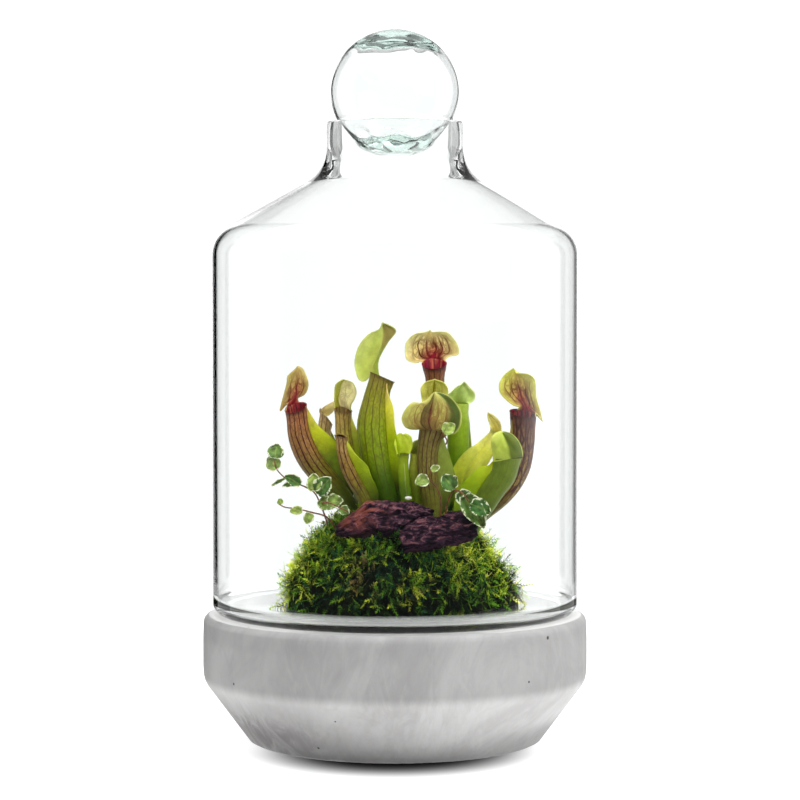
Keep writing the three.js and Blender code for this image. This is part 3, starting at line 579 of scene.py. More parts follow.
pitchers = {
    "pitcher_far_left": {
        "stem": [(-22, -5, 122), (-27, -5, 136), (-38, -5, 149), (-48.5, -6, 162), (-54.5, -6, 176),
                 (-56.5, -6, 190.7)],
        "girth": (4.5, 7, 5.8), "faces": 8, "wing": 12, "dip": 2.6, "dipTo": -110,
        "tube": [(0, "222e0e"), (0.3, "4c5a14"), (0.5, "767028"), (0.75, "9c7446"), (1, "a06c4c")], "tubeVein": 1,
        "wingPaint": [(0, "2f4410"), (0.35, "5f7414"), (0.7, "b0b82c"), (1, "ccc05a")],
        "hood": {
            "left": [(-4.6, 1.5), (-4.6, 5.7), (-9.6, -1.5), (-8.6, 4), (-5.7, 14.9), (-5.2, 18.9), (-1.9, 22),
                     (0.7, 24.8)],
            "rib": [(-1, 3), (0, 9), (0.6, 15), (0.9, 20), (0.7, 24.8)],
            "right": [(4.6, 1), (0.5, 5.7), (4.3, 8.3), (6.2, 11.6), (6.6, 15.6), (5.3, 19.5), (3.3, 23.4),
                      (0.7, 24.8)],
            "cup": -4, "lean": 1.5, "paint": [(0, "98583e"), (0.4, "ac8c58"), (1, "bcac68")], "vein": 0.9,
            "throat": 0.8, "neck": (85, 40), "neckTurn": -25,
        },
    },
    "pitcher_back_left": {
        "stem": [(-27, 9, 120), (-31, 13, 148), (-38.5, 15, 166), (-40.9, 15, 176), (-40.2, 15, 184)],
        "girth": (3, 4.2, 3.6), "faces": 0, "wing": 3, "dip": 4.5, "dipTo": 0,
        "tube": [(0, "2c3a12"), (0.4, "7c8c2c"), (0.8, "b8a868"), (1, "c4a878")], "tubeVein": 0.8,
        "wingPaint": [(0, "2f4410"), (0.5, "6a7a20"), (1, "94a040")],
        "hood": {
            "left": [(-3.6, 1), (-4.4, 3.6), (-4.8, 6.5), (-3.6, 9), (0, 10.4)],
            "rib": [(0, 2.5), (0, 5.5), (0, 8.4), (0, 10.4)],
            "right": [(3.6, 1), (4.4, 3.6), (4.8, 6.5), (3.6, 9), (0, 10.4)],
            "open": 0, "cup": 6.5, "lean": 8.6, "paint": [(0, "b09a60"), (0.5, "b8a868"), (1, "c4b478")],
            "vein": 0.5,
        },
    },
    "pitcher_left": {
        "stem": [(-16, 5, 124), (-20, 6, 142), (-26.5, 6, 160), (-29.5, 6, 176), (-30, 6, 189)],
        "girth": (3.4, 4.9, 4.6), "faces": -15, "wing": 7, "dip": 2, "dipTo": -60,
        "tube": [(0, "2c3a12"), (0.35, "6a7a1e"), (0.7, "b8ac50"), (1, "b89c5c")], "tubeVein": 0.8,
        "wingPaint": [(0, "3a5010"), (0.5, "9cac28"), (1, "ccc860")],
        "hood": {
            "left": [(-4, 1), (-4.8, 5), (-4.9, 9.8), (-4.2, 15.5), (-1, 18.2), (0.7, 18.6)],
            "rib": [(-1.5, 3), (-2, 8), (-0.5, 13), (0.7, 18.6)],
            "right": [(3.6, 0.6), (3.8, 2.9), (6.4, 6.9), (7.8, 10.9), (7, 14.5), (5.3, 16.9), (0.7, 18.6)],
            "cup": 3.5, "lean": 3, "paint": [(0, "98a030"), (0.4, "b4b44c"), (1, "c8c870")], "rightPaint": "fcf0b8",
            "rightFrom": 0.36, "vein": 0.35, "throat": 0.1,
        },
    },
    "pitcher_low_left": {
        "stem": [(-13, -15, 122), (-17, -16, 140), (-24.5, -16, 154), (-29, -16, 165), (-30.5, -16, 175)],
        "girth": (3.4, 4.4, 3.0), "faces": -30, "wing": 8, "dip": 1.5, "dipTo": 0,
        "tube": [(0, "2c3a12"), (0.35, "6a6a22"), (0.7, "94783e"), (1, "a88a58")], "tubeVein": 1,
        "wingPaint": [(0, "3a5010"), (0.5, "8ca024"), (1, "bcc448")],
        "hood": {
            "left": [(-2.8, 0), (-3.2, 1.6), (-2.2, 2.6), (0, 2.6), (2.4, 1.6)],
            "rib": [(0, 1), (1, 1.6), (2.4, 1.6)],
            "right": [(2.8, -1), (3.4, -0.4), (3.2, 0.8), (2.4, 1.6)],
            "cup": 4, "lean": 4, "paint": [(0, "6c5a34"), (1, "9a8248")], "vein": 0.5, "throat": 0.3,
        },
    },
    "pitcher_tall": {
        "stem": [(-2, -4, 122), (-4, -5, 140), (-9, -6, 160), (-11.5, -5, 180), (-10.5, -3, 196), (-8, -2, 208.3)],
        "girth": (7, 10.2, 6.4), "faces": -48, "wing": 9, "dip": 1.5, "dipTo": 0, "spout": 1.2, "lip": 1.6,
        "flare": 0.2,
        "tube": [(0, "26380e"), (0.3, "507018"), (0.6, "84981a"), (0.85, "848626"), (1, "7c7230")], "tubeVein": 0.7,
        "wingPaint": [(0, "33480e"), (0.4, "98ac20"), (0.75, "ccc850"), (1, "dcc080")],
        "hood": {
            "left": [(-7.4, 2.5), (-9.4, -2.5), (-12.4, -1.5), (-15.2, 8), (-13.7, 16.6), (-10.3, 22.3),
                     (-6.3, 26.1), (-1.1, 28.2), (0.7, 32.2)],
            "rib": [(-6.3, 3.3), (-4, 9), (-1.1, 16.6), (-0.2, 24), (0.7, 32.2)],
            "right": [(-3.4, 3.3), (-0.6, 12.6), (4, 20.6), (8.6, 26.3), (7.6, 29), (4, 31), (0.7, 32.2)],
            "cup": 3, "lean": -1, "paint": [(0, "9ca84c"), (0.4, "b0ba5c"), (1, "c0c678")], "vein": 0.12,
            "throat": 0.05, "rightPaint": "847440", "rightLow": "8c9c3c", "fold": 7, "neck": (50, 40),
            "neckTurn": -45,
        },
    },
    "pitcher_red_throat": {
        "stem": [(20, 14, 122), (21.5, 17, 150), (23.5, 20, 185), (23.3, 20, 203), (22.8, 20, 215)],
        "girth": (4, 5.0, 5.5), "faces": -92, "wing": 3, "dip": 3, "dipTo": -90, "flare": 1.7,
        "tube": [(0, "3a3a1c"), (0.5, "6c582a"), (0.8, "80643c"), (1, "845440")], "tubeVein": 0.8,
        "wingPaint": [(0, "3a3a18"), (0.6, "66562c"), (1, "8a6a3c")],
        "hood": {
            "left": [(-5.4, 1), (-6.9, 3.6), (-11.2, 1.6), (-16, 3.5), (-17, 9), (-16, 14.2), (-11.2, 18.6),
                     (-5, 19.6), (-2.4, 20.9)],
            "rib": [(0, 3), (-0.6, 9), (-1.4, 15), (-2.4, 20.9)],
            "right": [(5.4, 1.5), (6.6, 5.3), (13.9, 6.4), (14.2, 11), (12, 15.1), (8, 19.4), (3, 20.2),
                      (-1.3, 19.6), (-2.4, 20.9)],
            "cup": 2.5, "lean": 3.5, "paint": [(0, "dc9468"), (0.5, "e4cc8c"), (1, "e8e4a4")], "vein": 0.95,
            "throat": 1,
        },
    },
    "pitcher_front": {
        "stem": [(22, -20, 118), (21, -19, 138), (18.5, -19, 155), (18.7, -19, 169), (20.9, -18.5, 180)],
        "girth": (4.8, 5.8, 6.4), "faces": 8, "wing": 10, "dip": 0.5, "dipTo": 0, "spout": 2.5, "lip": 0,
        "flare": 0.8, "flareFrom": 0.82,
        "tube": [(0, "333a14"), (0.35, "6a6a26"), (0.7, "787036"), (1, "6c6234")], "tubeVein": 0.9,
        "wingPaint": [(0, "3e5414"), (0.5, "7c8c38"), (1, "98a450")],
        "hood": {
            "left": [(-7.2, 0.6), (-8.6, 0.2), (-11.3, -0.2), (-15.2, 1.7), (-17, 6.6), (-14.8, 12), (-11.2, 15.4),
                     (-7, 15.2), (-3.6, 16.6), (1.4, 21.4)],
            "rib": [(-2.4, 0.6), (-1.6, 7), (-0.2, 14), (1.5, 21.4)],
            "right": [(7.6, -1), (9.6, -3.6), (12.7, -2.4), (15.9, 2), (16.8, 6.9), (16.4, 10.8), (13.8, 15.2),
                      (10.8, 18.3), (6.3, 20.6), (1.5, 21.4)],
            "open": 90, "cup": 3, "lean": 2, "paint": [(0, "7c7038"), (0.5, "a8a058"), (1, "c4c470")], "vein": 0.65,
            "centre": "5e5428", "keel": (0.18, 1.0, -0.15), "line": 0.9, "throat": 0.1, "rightPaint": "26480c",
            "rightFrom": 0.74, "fold": 3,
        },
    },
    "pitcher_behind_front": {
        "stem": [(21, 1, 124), (20.5, 1, 150), (20.5, 2, 175), (21.5, 3, 190)],
        "girth": (3.2, 4.9, 4.8), "faces": -85, "wing": 1.5, "dip": 1.5, "dipTo": -90,
        "tube": [(0, "333a14"), (0.5, "5c641e"), (1, "8c9030")], "tubeVein": 0.3,
        "hood": {
            "left": [(-4.4, 1), (-5.8, 5), (-6.7, 11.8), (-4.4, 15.8), (1.4, 17.8)],
            "rib": [(0, 2.5), (0.6, 10), (1.4, 17.8)],
            "right": [(4.4, 1), (7, 4), (9.2, 10.6), (6.9, 15.6), (1.4, 17.8)],
            # its centre colour and rib line darken the groove on its back: painted shade in the crease
            "cup": 2.5, "lean": 2, "centre": "98902c", "keel": (0.16, -1.6, 0.06), "line": 0.15,
            "paint": [(0, "b0ac44"), (1, "d4d070")], "vein": 0.4,
        },
    },
    "pitcher_green": {
        "stem": [(32, 3, 120), (33, 3, 140), (36, 4, 158), (36.5, 4, 178), (36, 4, 194)],
        "girth": (4, 6.3, 6), "faces": 25, "wing": 2.5, "dip": 1, "dipTo": -30, "lip": 0.2,
        "tube": [(0, "2c4010"), (0.4, "5c841c"), (0.8, "88a432"), (1, "a4b850")], "tubeVein": 0.2,
        "hood": {
            "left": [(-5.4, 1), (-5.6, 3.6), (-4.3, 6), (-0.8, 9), (4, 12.2)],
            "rib": [(-1, 2), (0, 5), (2, 8.6), (4, 12.2)],
            "right": [(5.4, 0), (5.6, 0.2), (7.6, 0.2), (10, 2.4), (9.9, 5.7), (7.4, 9.1), (4, 12.2)],
            "cup": 3, "lean": 0, "paint": [(0, "a0b858"), (0.6, "bcd07c"), (1, "dce6ac")], "vein": 0.15,
        },
    },
    "pitcher_small_right": {
        "stem": [(36, -9, 118), (38.5, -8, 137), (45, -7, 154), (53, -6, 167), (57.6, -5, 177)],
        "girth": (3, 4.4, 3.2), "faces": 172, "wing": 8, "dip": 1, "dipTo": -60,
        "tube": [(0, "3a5212"), (0.4, "94a436"), (0.8, "d8d860"), (1, "e0d87c")], "tubeVein": 0.15,
        "wingPaint": [(0, "4c6818"), (0.4, "c0c848"), (1, "e6e27c")],
        "hood": {
            "left": [(-2, 0.6), (-3.2, 4.5), (-4.4, 8.5), (-4.4, 12)],
            "rib": [(0.3, 1), (-0.6, 6), (-4.4, 12)],
            "right": [(2.6, 0), (3.4, 3.4), (2.2, 7), (-1.2, 10.4), (-4.4, 12)],
            "cup": 1.5, "lean": 1, "paint": [(0, "ccb85c"), (1, "e4dc90")], "vein": 0.1,
        },
    },
    "pitcher_right_front": {
        "stem": [(36, -19, 108), (44, -21, 127), (55, -25, 146), (61, -26, 155), (63.3, -26, 163.5)],
        "girth": (4, 6.8, 7.4), "faces": 178, "wing": 10, "dip": 2, "dipTo": 178, "lip": 0.3,
        "tube": [(0, "2e4214"), (0.35, "4c681c"), (0.7, "5e7026"), (1, "687a2e")], "tubeVein": 0.25,
        "wingPaint": [(0, "3e5c12"), (0.4, "8ca81c"), (1, "bcc83c")],
        "hood": {
            "left": [(-7.2, 0.4), (-8, 3), (-8.8, 6.9), (-9, 10.8), (-7.6, 13.8), (-5.4, 15.4), (-3, 15.9)],
            "rib": [(0, 1), (-0.6, 6), (-1.8, 11), (-3, 15.9)],
            "right": [(7.2, -0.6), (8.4, 1.4), (8.2, 5), (7.2, 8.6), (5, 12.2), (1.6, 14.9), (-3, 15.9)],
            "open": 90, "cup": 6, "lean": 5, "paint": [(0, "98a84c"), (0.5, "b4c25a"), (1, "ccd470")], "vein": 0.1,
            "rightPaint": "42540f", "fold": 3,
        },
    },
    "pitcher_far_right": {
        "stem": [(38, -4, 112), (46, -4, 128), (60.5, -4, 142), (69.3, -4, 155), (72.8, -4, 170),
                 (73.2, -4, 187.5)],
        "girth": (4.4, 7, 7.1), "faces": -150, "wing": 4, "dip": 2.2, "dipTo": -60,
        "tube": [(0, "2e3a14"), (0.3, "646224"), (0.6, "947a40"), (0.85, "7e5c3a"), (1, "603a2c")], "tubeVein": 1.4,
        "wingPaint": [(0, "3c4c14"), (0.5, "8a8438"), (1, "a0904c")],
        "hood": {
            "left": [(-6.6, 1.2), (-1.5, 4.4), (-4.9, 5.4), (-9.4, 8.6), (-12.9, 12.6), (-13.5, 17.2),
                     (-12.3, 20.5), (-9.6, 23.8), (-5.3, 26.9)],
            "rib": [(2.6, 4.4), (0, 9), (-1.6, 15), (-3.2, 21), (-4.3, 26)],
            "right": [(6.6, 1.2), (7.6, 4.1), (11.7, -4.4), (10.4, 2), (8.1, 9.3), (7.7, 15.2), (7.2, 19.8),
                      (5, 22.6), (1.1, 23.8), (-4.1, 24)],
            "cup": 3, "lean": 2, "paint": [(0, "b87c50"), (0.4, "ccb064"), (1, "d8d870")], "neck": (45, 85),
            "neckTurn": 25, "vein": 1.0, "throat": 0.95,
        },
    },
    "pitcher_young": {
        "stem": [(6, -20, 118), (6.5, -20, 138), (5.2, -20, 152), (4.6, -20, 165.5)],
        "girth": (2.2, 3.2, 2.9), "faces": -80, "wing": 1, "dip": 0.8, "dipTo": -90,
        "tube": [(0, "33480e"), (0.5, "56741a"), (1, "86982c")], "tubeVein": 0.1,
        "hood": {
            "left": [(-2.6, 0.6), (-4.2, 3.4), (-4.8, 7), (-3.6, 11), (-1.6, 12.6), (0, 11.6)],
            "rib": [(0, 1.6), (0.2, 6), (0, 11.6)],
            "right": [(2.6, 0.6), (4.4, 2.6), (5.4, 6.4), (4.6, 10.4), (2.2, 12.2), (0, 11.6)],
            "cup": 2, "lean": 1, "paint": [(0, "b4c43c"), (1, "d0dc5c")], "vein": 0.05,
        },
    },
    "pitcher_slender": {
        "stem": [(13.5, -12.3, 119.5), (12.5, -12, 140), (11, -12, 156), (11.9, -12, 166)],
        "girth": (2.2, 3.2, 2.8), "faces": 60, "wing": 1.5, "dip": 1, "dipTo": -90,
        "tube": [(0, "33480e"), (0.5, "84982c"), (1, "c8cc58")], "tubeVein": 0.2,
        "hood": {
            "left": [(-2.5, 0.6), (-2.8, 3), (-1.6, 6.4), (1, 7.8)],
            "rib": [(0, 1.4), (0.4, 4), (1, 7.8)],
            "right": [(2.5, 0.6), (3.6, 3), (3.4, 5.8), (1, 7.8)],
            "cup": 2, "lean": 1.5, "paint": [(0, "a0a444"), (1, "c8cc7c")], "vein": 0.1,
        },
    },
}
leafWall = {"tube": 0.55, "wing": 0.5, "hood": 0.5}  # mm
leafGrid = {"tube": (28, 56), "wing": (5, 36), "hood": (48, 30)}
veinPaint = {"tube": "3c1410", "hood": "5c1014"}
throatPaint = "98143a"
fleckPaint = "e08868"
lipPaint = "380c16"


# round trumpet: thin root, belly at two thirds, mouth
def girthAt(girth, share):
    root, belly, mouth = girth
    rise = math.sin(min(max(share, 0) / 0.66, 1) * math.pi / 2) ** 1.3
    return root + (belly - root) * rise + (mouth - belly) * smoothStep(0.66, 1, share)


# how far the rim sinks towards its lip
def rimDrop(spec, outward, share):
    towards = outward.dot(headingVector(spec["dipTo"]))
    return spec["dip"] * mm * (towards - 0.35) * smoothStep(0.8, 1, share)


def makeTube(name, spec):
    route = routeOf(spec["stem"])
    facing = headingVector(spec["faces"])
    rough = random.Random(name)
    shift = Vector((rough.uniform(0, 50), rough.uniform(0, 50), 0))
    outerShare = 0.66  # of the grid's rows; a quarter of the rest is the rolled lip, then the inner wall

    def place(u, v):
        angle = u * 2 * math.pi
        share, inset, roll = v / outerShare, 0, 0
        if v > outerShare:
            inner = (v - outerShare) / (1 - outerShare)
            roll = min(inner / 0.25, 1)
            share = 1 - max(inner - 0.25, 0) / 0.75 * 0.45
            inset = leafWall["tube"] * smoothStep(0, 1, roll)
        along, front, side = tubeFrame(route, share, facing)
        outward = front * math.cos(angle) + side * math.sin(angle)
        bead = 0.45 * spec["lip"] * math.sin(math.pi * roll)
        towards = max(outward.dot(headingVector(spec["dipTo"])), 0) ** 4
        size = girthAt(spec["girth"], share) - inset
        size += spec["flare"] * smoothStep(spec["flareFrom"], 1, share) ** 2
        size += bead
        size += spec["spout"] * towards * smoothStep(0.9, 1, share) ** 2
        size *= 1 + 0.035 * noise.noise(outward * 1.3 + shift + Vector((0, 0, share * 5)))
        return route(share) + outward * size * mm + along * bead * mm - along * rimDrop(spec, outward, share)

    def shade(u, v):
        share = min(v / outerShare, 1)
        if v > outerShare:
            share = 1 - max((v - outerShare) / (1 - outerShare) - 0.25, 0) * 0.6
        colour = rampPaint(spec["tube"], share)
        throat = spec["hood"]["throat"]
        if v > outerShare + 0.04:
            fleck = smoothStep(0.1, 0.35, noise.noise(Vector((u * 22, v * 9, spec["girth"][0])))) * 0.6
            inside = blendPaint(paint(throatPaint), paint(fleckPaint), fleck)
            colour = blendPaint(blendPaint(colour, paint("3a4014"), 0.5), inside, throat * 0.95)
        elif v > outerShare - 0.015:
            colour = blendPaint(colour, paint(lipPaint), (0.25 + 0.7 * throat) * spec["lip"])
        return colour, spec["tubeVein"] * smoothStep(0.1, 0.55, share), 1

    cells = (round(4 + spec["girth"][2] * 1.5), route.length / mm / 9)
    piece = placedGrid(name, *leafGrid["tube"], place, shade, cells)
    mergeGrid(piece)
    return piece


def makeWing(name, spec):
    route = routeOf(spec["stem"])
    facing = headingVector(spec["faces"])
    rough = random.Random(name + "wing").uniform(0, 40)

    def place(u, v):
        share = 0.22 + 0.77 * v
        along, front, side = tubeFrame(route, share, facing)
        reach = girthAt(spec["girth"], share) - 0.5 + u * (0.3 + spec["wing"] * math.sin(math.pi * v ** 0.8) ** 0.9)
        wave = 0.9 * u * u * math.sin(v * 16 + rough) * min(spec["wing"] / 6, 1)
        return route(share) + front * reach * mm + side * wave * mm - along * rimDrop(spec, front, share)

    def shade(u, v):
        return rampPaint(spec["wingPaint"], v), spec["tubeVein"] * 0.35 * (1 - u), 0

    return thicken(placedGrid(name, *leafGrid["wing"], place, shade, (1.5, 8)), leafWall["wing"])


def makeHood(name, spec):
    route = routeOf(spec["stem"])
    hood = spec["hood"]
    mouth = route(1)
    along = alongAt(route, 1)
    away = -headingVector(hood["open"])
    side = Vector((away.y, -away.x, 0))
    if side.x < -0.1:
        side = -side
    left, rib, right = (
        routeOf([(side.x * x, side.y * x, z) for x, z in hood[edge]]) for edge in ("left", "rib", "right"))
    rim = (spec["girth"][2] + spec["flare"]) * mm
    rough = random.Random(name + "hood").uniform(0, 40)
    neckLeft, neckRight = hood["neck"]
    keelWide, keelHigh, keelShift = hood["keel"]

    # the tube's back runs on up the hood's back as a half-round keel
    def keelAt(w, v):
        if not keelWide:
            return 0
        return math.sqrt(max(1 - ((w - keelShift) / (keelWide * mixNumbers(1, 0.3, v))) ** 2, 0))

    def place(u, v):
        w = u * 2 - 1
        flat = rib(v).lerp(left(v) if w < 0 else right(v), abs(w) ** 0.92)
        depth = -keelHigh * (1 - 0.6 * v) * keelAt(w, v)
        depth += hood["cup"] * (w * w) + hood["lean"] * v * v
        depth -= hood["fold"] * max(w, 0) * math.sin(math.pi * min(v * 0.6 + 0.3, 1))
        ripple = 0.7 * abs(w) ** 3 * math.sin(v * 15 + rough + (0 if w < 0 else 2))
        ripple += 0.25 * math.sin(w * 9 + v * 7 + rough)
        free = mouth + flat + away * (rim * 0.92 - (depth + ripple * smoothStep(0.1, 0.3, v)) * mm)
        turn = math.radians(w * (neckLeft if w < 0 else neckRight) + hood["neckTurn"])
        outward = side * math.sin(turn) + away * math.cos(turn)
        neck = mouth + outward * rim - along * rimDrop(spec, outward, 1) + Vector((0, 0, flat.z * 0.3)) * v
        return neck.lerp(free, smoothStep(0, 0.22, v))

    def shade(u, v):
        onKeel = keelAt(u * 2 - 1, v)
        ribbed = smoothStep(0, 0.3, onKeel)
        w = abs(u * 2 - 1)
        colour = rampPaint(hood["paint"], min(v * 0.7 + w * 0.45, 1))
        if "rightPaint" in hood:
            lower, upper = paint(hood.get("rightLow", hood["rightPaint"])), paint(hood["rightPaint"])
            start = hood["rightFrom"]
            rightSide = blendPaint(lower, upper, smoothStep(0.3, 0.6, v))
            colour = blendPaint(colour, rightSide, smoothStep(start, start + 0.1, u) * 0.9)
        if "centre" in hood:
            fromTube = smoothStep(0.3, 0.04, v + max(w - 0.4, 0) * 0.5)
            ribbed = max(ribbed, fromTube)
            strip = max(smoothStep(0, 0.35, onKeel), fromTube * 0.8) * 0.95
            colour = blendPaint(colour, paint(hood["centre"]), strip)
            colour = blendPaint(colour, paint(lipPaint), smoothStep(0.07, 0.0, w) * hood["line"])
        edge = smoothStep(0.93, 0.99, max(w, v))
        colour = blendPaint(colour, paint(hood["paint"][-1][1]), edge)
        low = smoothStep(0.72, 0.2, v + w * w * 0.9) * hood["throat"]
        fleck = smoothStep(0.05, 0.3, noise.noise(Vector((u * 16, v * 13, rough)))) * smoothStep(0.05, 0.25, v)
        red = blendPaint(paint(throatPaint), paint(fleckPaint), fleck * 0.6)
        colour = blendPaint(colour, red, low * 0.95)
        return colour, hood["vein"] * mixNumbers(1, 0.1, smoothStep(0.5, 0.98, max(v, w))), ribbed

    width = max(x for x, z in hood["right"]) - min(x for x, z in hood["left"])
    cells = (max(width / 4.2, 3), max(hood["rib"][-1][1] / 8, 2))
    return thicken(placedGrid(name, *leafGrid["hood"], place, shade, cells), leafWall["hood"])


# ribs along the tube, a net between them and a finer net over all
def makePitcherSkin(name):
    material, tree, shader = newMaterial(name, {
        "Roughness": 0.45, "Specular IOR Level": 0.3, "Subsurface Weight": 0.12, "Subsurface Scale": 0.002,
        "Subsurface Radius": (0.8, 1.0, 0.3)})
    amount = attributeNode(tree, "vein")
    isTube = attributeNode(tree, "ribbed")
    layout = addNode(tree, "UVMap").outputs["UV"]
    warp = addNode(tree, "TexNoise", {"Vector": layout, "Scale": 1.1, "Detail": 3}).outputs["Color"]
    bent = mixColours(tree, maskNode(tree, isTube, 0, 1, 0.6, 0.3), layout, warp, "LINEAR_LIGHT")

    def netNode(place):
        cells = addNode(tree, "TexVoronoi", {"Vector": place, "Scale": 1}, feature="DISTANCE_TO_EDGE")
        return cells.outputs["Distance"]

    ribs = mathNode(tree, "PINGPONG", axesOf(tree, bent)[0], 0.5)
    ribs = mathNode(tree, "SUBTRACT", ribs, timesNode(tree, amount, 0.07))
    net = netNode(bent)
    fineNet = netNode(addNode(tree, "Mapping", {"Vector": bent, "Scale": (2.1, 3.2, 1)}).outputs["Vector"])
    netShare = mathNode(tree, "MAXIMUM", maskNode(tree, isTube, 0, 1, 0.75, 0.15),
                        maskNode(tree, amount, 1.0, 1.5, 0, 0.9))
    lines = maskNode(tree, ribs, 0.08, 0.0)
    lines = mathNode(tree, "MAXIMUM", lines, timesNode(tree, maskNode(tree, net, 0.13, 0.04), netShare))
    lines = mathNode(tree, "MAXIMUM", lines, maskNode(tree, fineNet, 0.15, 0.05, 0, 0.5))
    mottle = maskNode(tree, noiseNode(tree, objectPlace(tree), 200, 5, 0.65), 0.3, 0.7, 0.86, 1.12)
    colour = mixColours(tree, 1.0, attributeNode(tree, "skin", "Color"), mottle, "MULTIPLY")
    veinColour = mixColours(tree, isTube, opaque(veinPaint["hood"]), opaque(veinPaint["tube"]))
    colour = mixColours(tree, timesNode(tree, lines, amount), colour, veinColour)
    colour = addNode(tree, "HueSaturation", {"Saturation": 1.08, "Value": 1.04, "Color": colour}).outputs["Color"]
    tree.links.new(colour, shader.inputs["Base Color"])
    addBump(tree, shader, lines, 0.25, 0.0002)
    return material


def makePitchers():
    redVeined = {"pitcher_far_left", "pitcher_low_left", "pitcher_red_throat", "pitcher_front", "pitcher_far_right"}
    skins = {"pitcher_red": makePitcherSkin("redVeinedLeaf"), "pitcher_green": makePitcherSkin("greenLeaf")}
    for node, own in pitchers.items():
        spec = {**usualPitcher, **own, "hood": {**usualHood, **own["hood"]}}
        name = leafName("leaf", node)
        parts = [makeTube(name + "Tube", spec), makeWing(name + "Wing", spec), makeHood(name + "Hood", spec)]
        piece = joinPieces(parts, name)
        bpy.ops.object.shade_smooth_by_angle(angle=math.radians(60))
        slot = "pitcher_red" if node in redVeined else "pitcher_green"
        putInPlace(piece, skins[slot], node)


# lengths in mm; a kind of frond is pairs of leaflets, curl, bend, leaflets' reach, and seed
moss = {
    "foot": 78.8, "radius": 67, "height": 56.5, "power": 1.8, "footGap": 0.2,
    "colours": ["1c4430", "385c1c", "5c8824", "94ac2c", "bcc43c", "d4d468"], "dead": "94784c",
    # root darkens each frond's base as painted shade deep in the mound; tipGlow brightens its tip as painted light
    "root": (0.001, 0.003, 0.003), "tipGlow": 1.7,
    "fronds": 3300, "length": (6, 13),
    "frondKinds": [(8, -0.25, 0, 1, 20), (7, 0.1, 0.1, 1, 21), (9, -0.5, -0.1, 1, 22)],
    "strands": 3400, "strandLength": (6, 12), "tuft": 260,
    "strandKinds": [(8, -0.6, 0.5, 0.35, 30), (8, -0.9, -0.3, 0.3, 31), (7, 0.3, -0.6, 0.3, 32)],
    "bed": ((0.003, 0.005, 0.004, 1), (0.012, 0.018, 0.008, 1)),
}


def moundHeight(r, radius):
    share = min(r / radius, 1) ** moss["power"]
    return moss["height"] * (1 - share) ** (1 / moss["power"])


# one feathery frond along +Y, its leaflets in pairs; shares tell how far along each point is
def makeFrond(pairs, curl, bend, reachScale, seed):
    rough = random.Random(seed)
    corners, faces, shares = [], [], []

    def addBlade(root, tip, width, share, tipShare, lift=0.0):
        start = len(corners)
        side = (tip - root).normalized().cross(Vector((0, 0, 1))).normalized() * width / 2
        middle = root.lerp(tip, 0.45) + Vector((0, 0, lift))
        corners.extend([root, middle - side, tip, middle + side])
        middleShare = mixNumbers(share, tipShare, 0.5)
        shares.extend([share, middleShare, tipShare, middleShare])
        faces.append((start, start + 1, start + 2, start + 3))

    spine = []
    for i in range(pairs + 1):
        along = i / pairs
        spine.append(Vector((0.03 * math.sin(i * 1.3) + bend * along ** 2, along, curl * along ** 2)))
    width = 0.026 + 0.02 * reachScale
    for i in range(pairs):
        addBlade(spine[i], spine[i + 1] + Vector((0, 0.03, 0)), width, i / pairs, (i + 1) / pairs)
        reach = reachScale * (0.17 * math.sin(math.pi * ((i + 1) / (pairs + 1)) ** 0.7) + 0.07)
        for sign in (-1, 1):
            angle = math.radians(rough.uniform(38, 58))
            size = reach * rough.uniform(0.75, 1.15)
            tip = spine[i] + Vector((sign * math.sin(angle), math.cos(angle), rough.uniform(-0.25, 0.3))) * size
            addBlade(spine[i], tip, width * 0.82, i / pairs, min((i + 2) / pairs, 1), 0.015)
    return corners, faces, shares


# colour of a frond by its place: yellower at the sides and the top right, and brighter there as painted light, dead in
# one patch at the front
def frondPaint(root, rough):
    clump = noise.noise(root / (9 * mm)) * 0.5 + 0.5
    sideways = smoothStep(0.35, 0.95, abs(root.x) / (moss["radius"] * mm))
    rightTop = smoothStep(0.2, 0.6, root.x / (moss["radius"] * mm)) * smoothStep(0.1, 0.125, root.z)
    pick = smoothStep(0.2, 0.8, clump) * 0.62 + rough.uniform(-0.2, 0.24) + 0.25 * sideways + 0.2 * rightTop
    colour = paint(moss["colours"][int(min(max(pick, 0), 0.999) * len(moss["colours"]))])
    dead = smoothStep(9, 5, math.hypot(root.x / mm + 17, root.z / mm - 98)) * (root.y < 0)
    colour = blendPaint(colour, paint(moss["dead"]), dead * rough.uniform(0.3, 0.9))
    paintedLight = mixNumbers(0.85, 1.5, sideways) * (1 + 0.6 * rightTop)
    return tuple(channel * paintedLight for channel in colour)


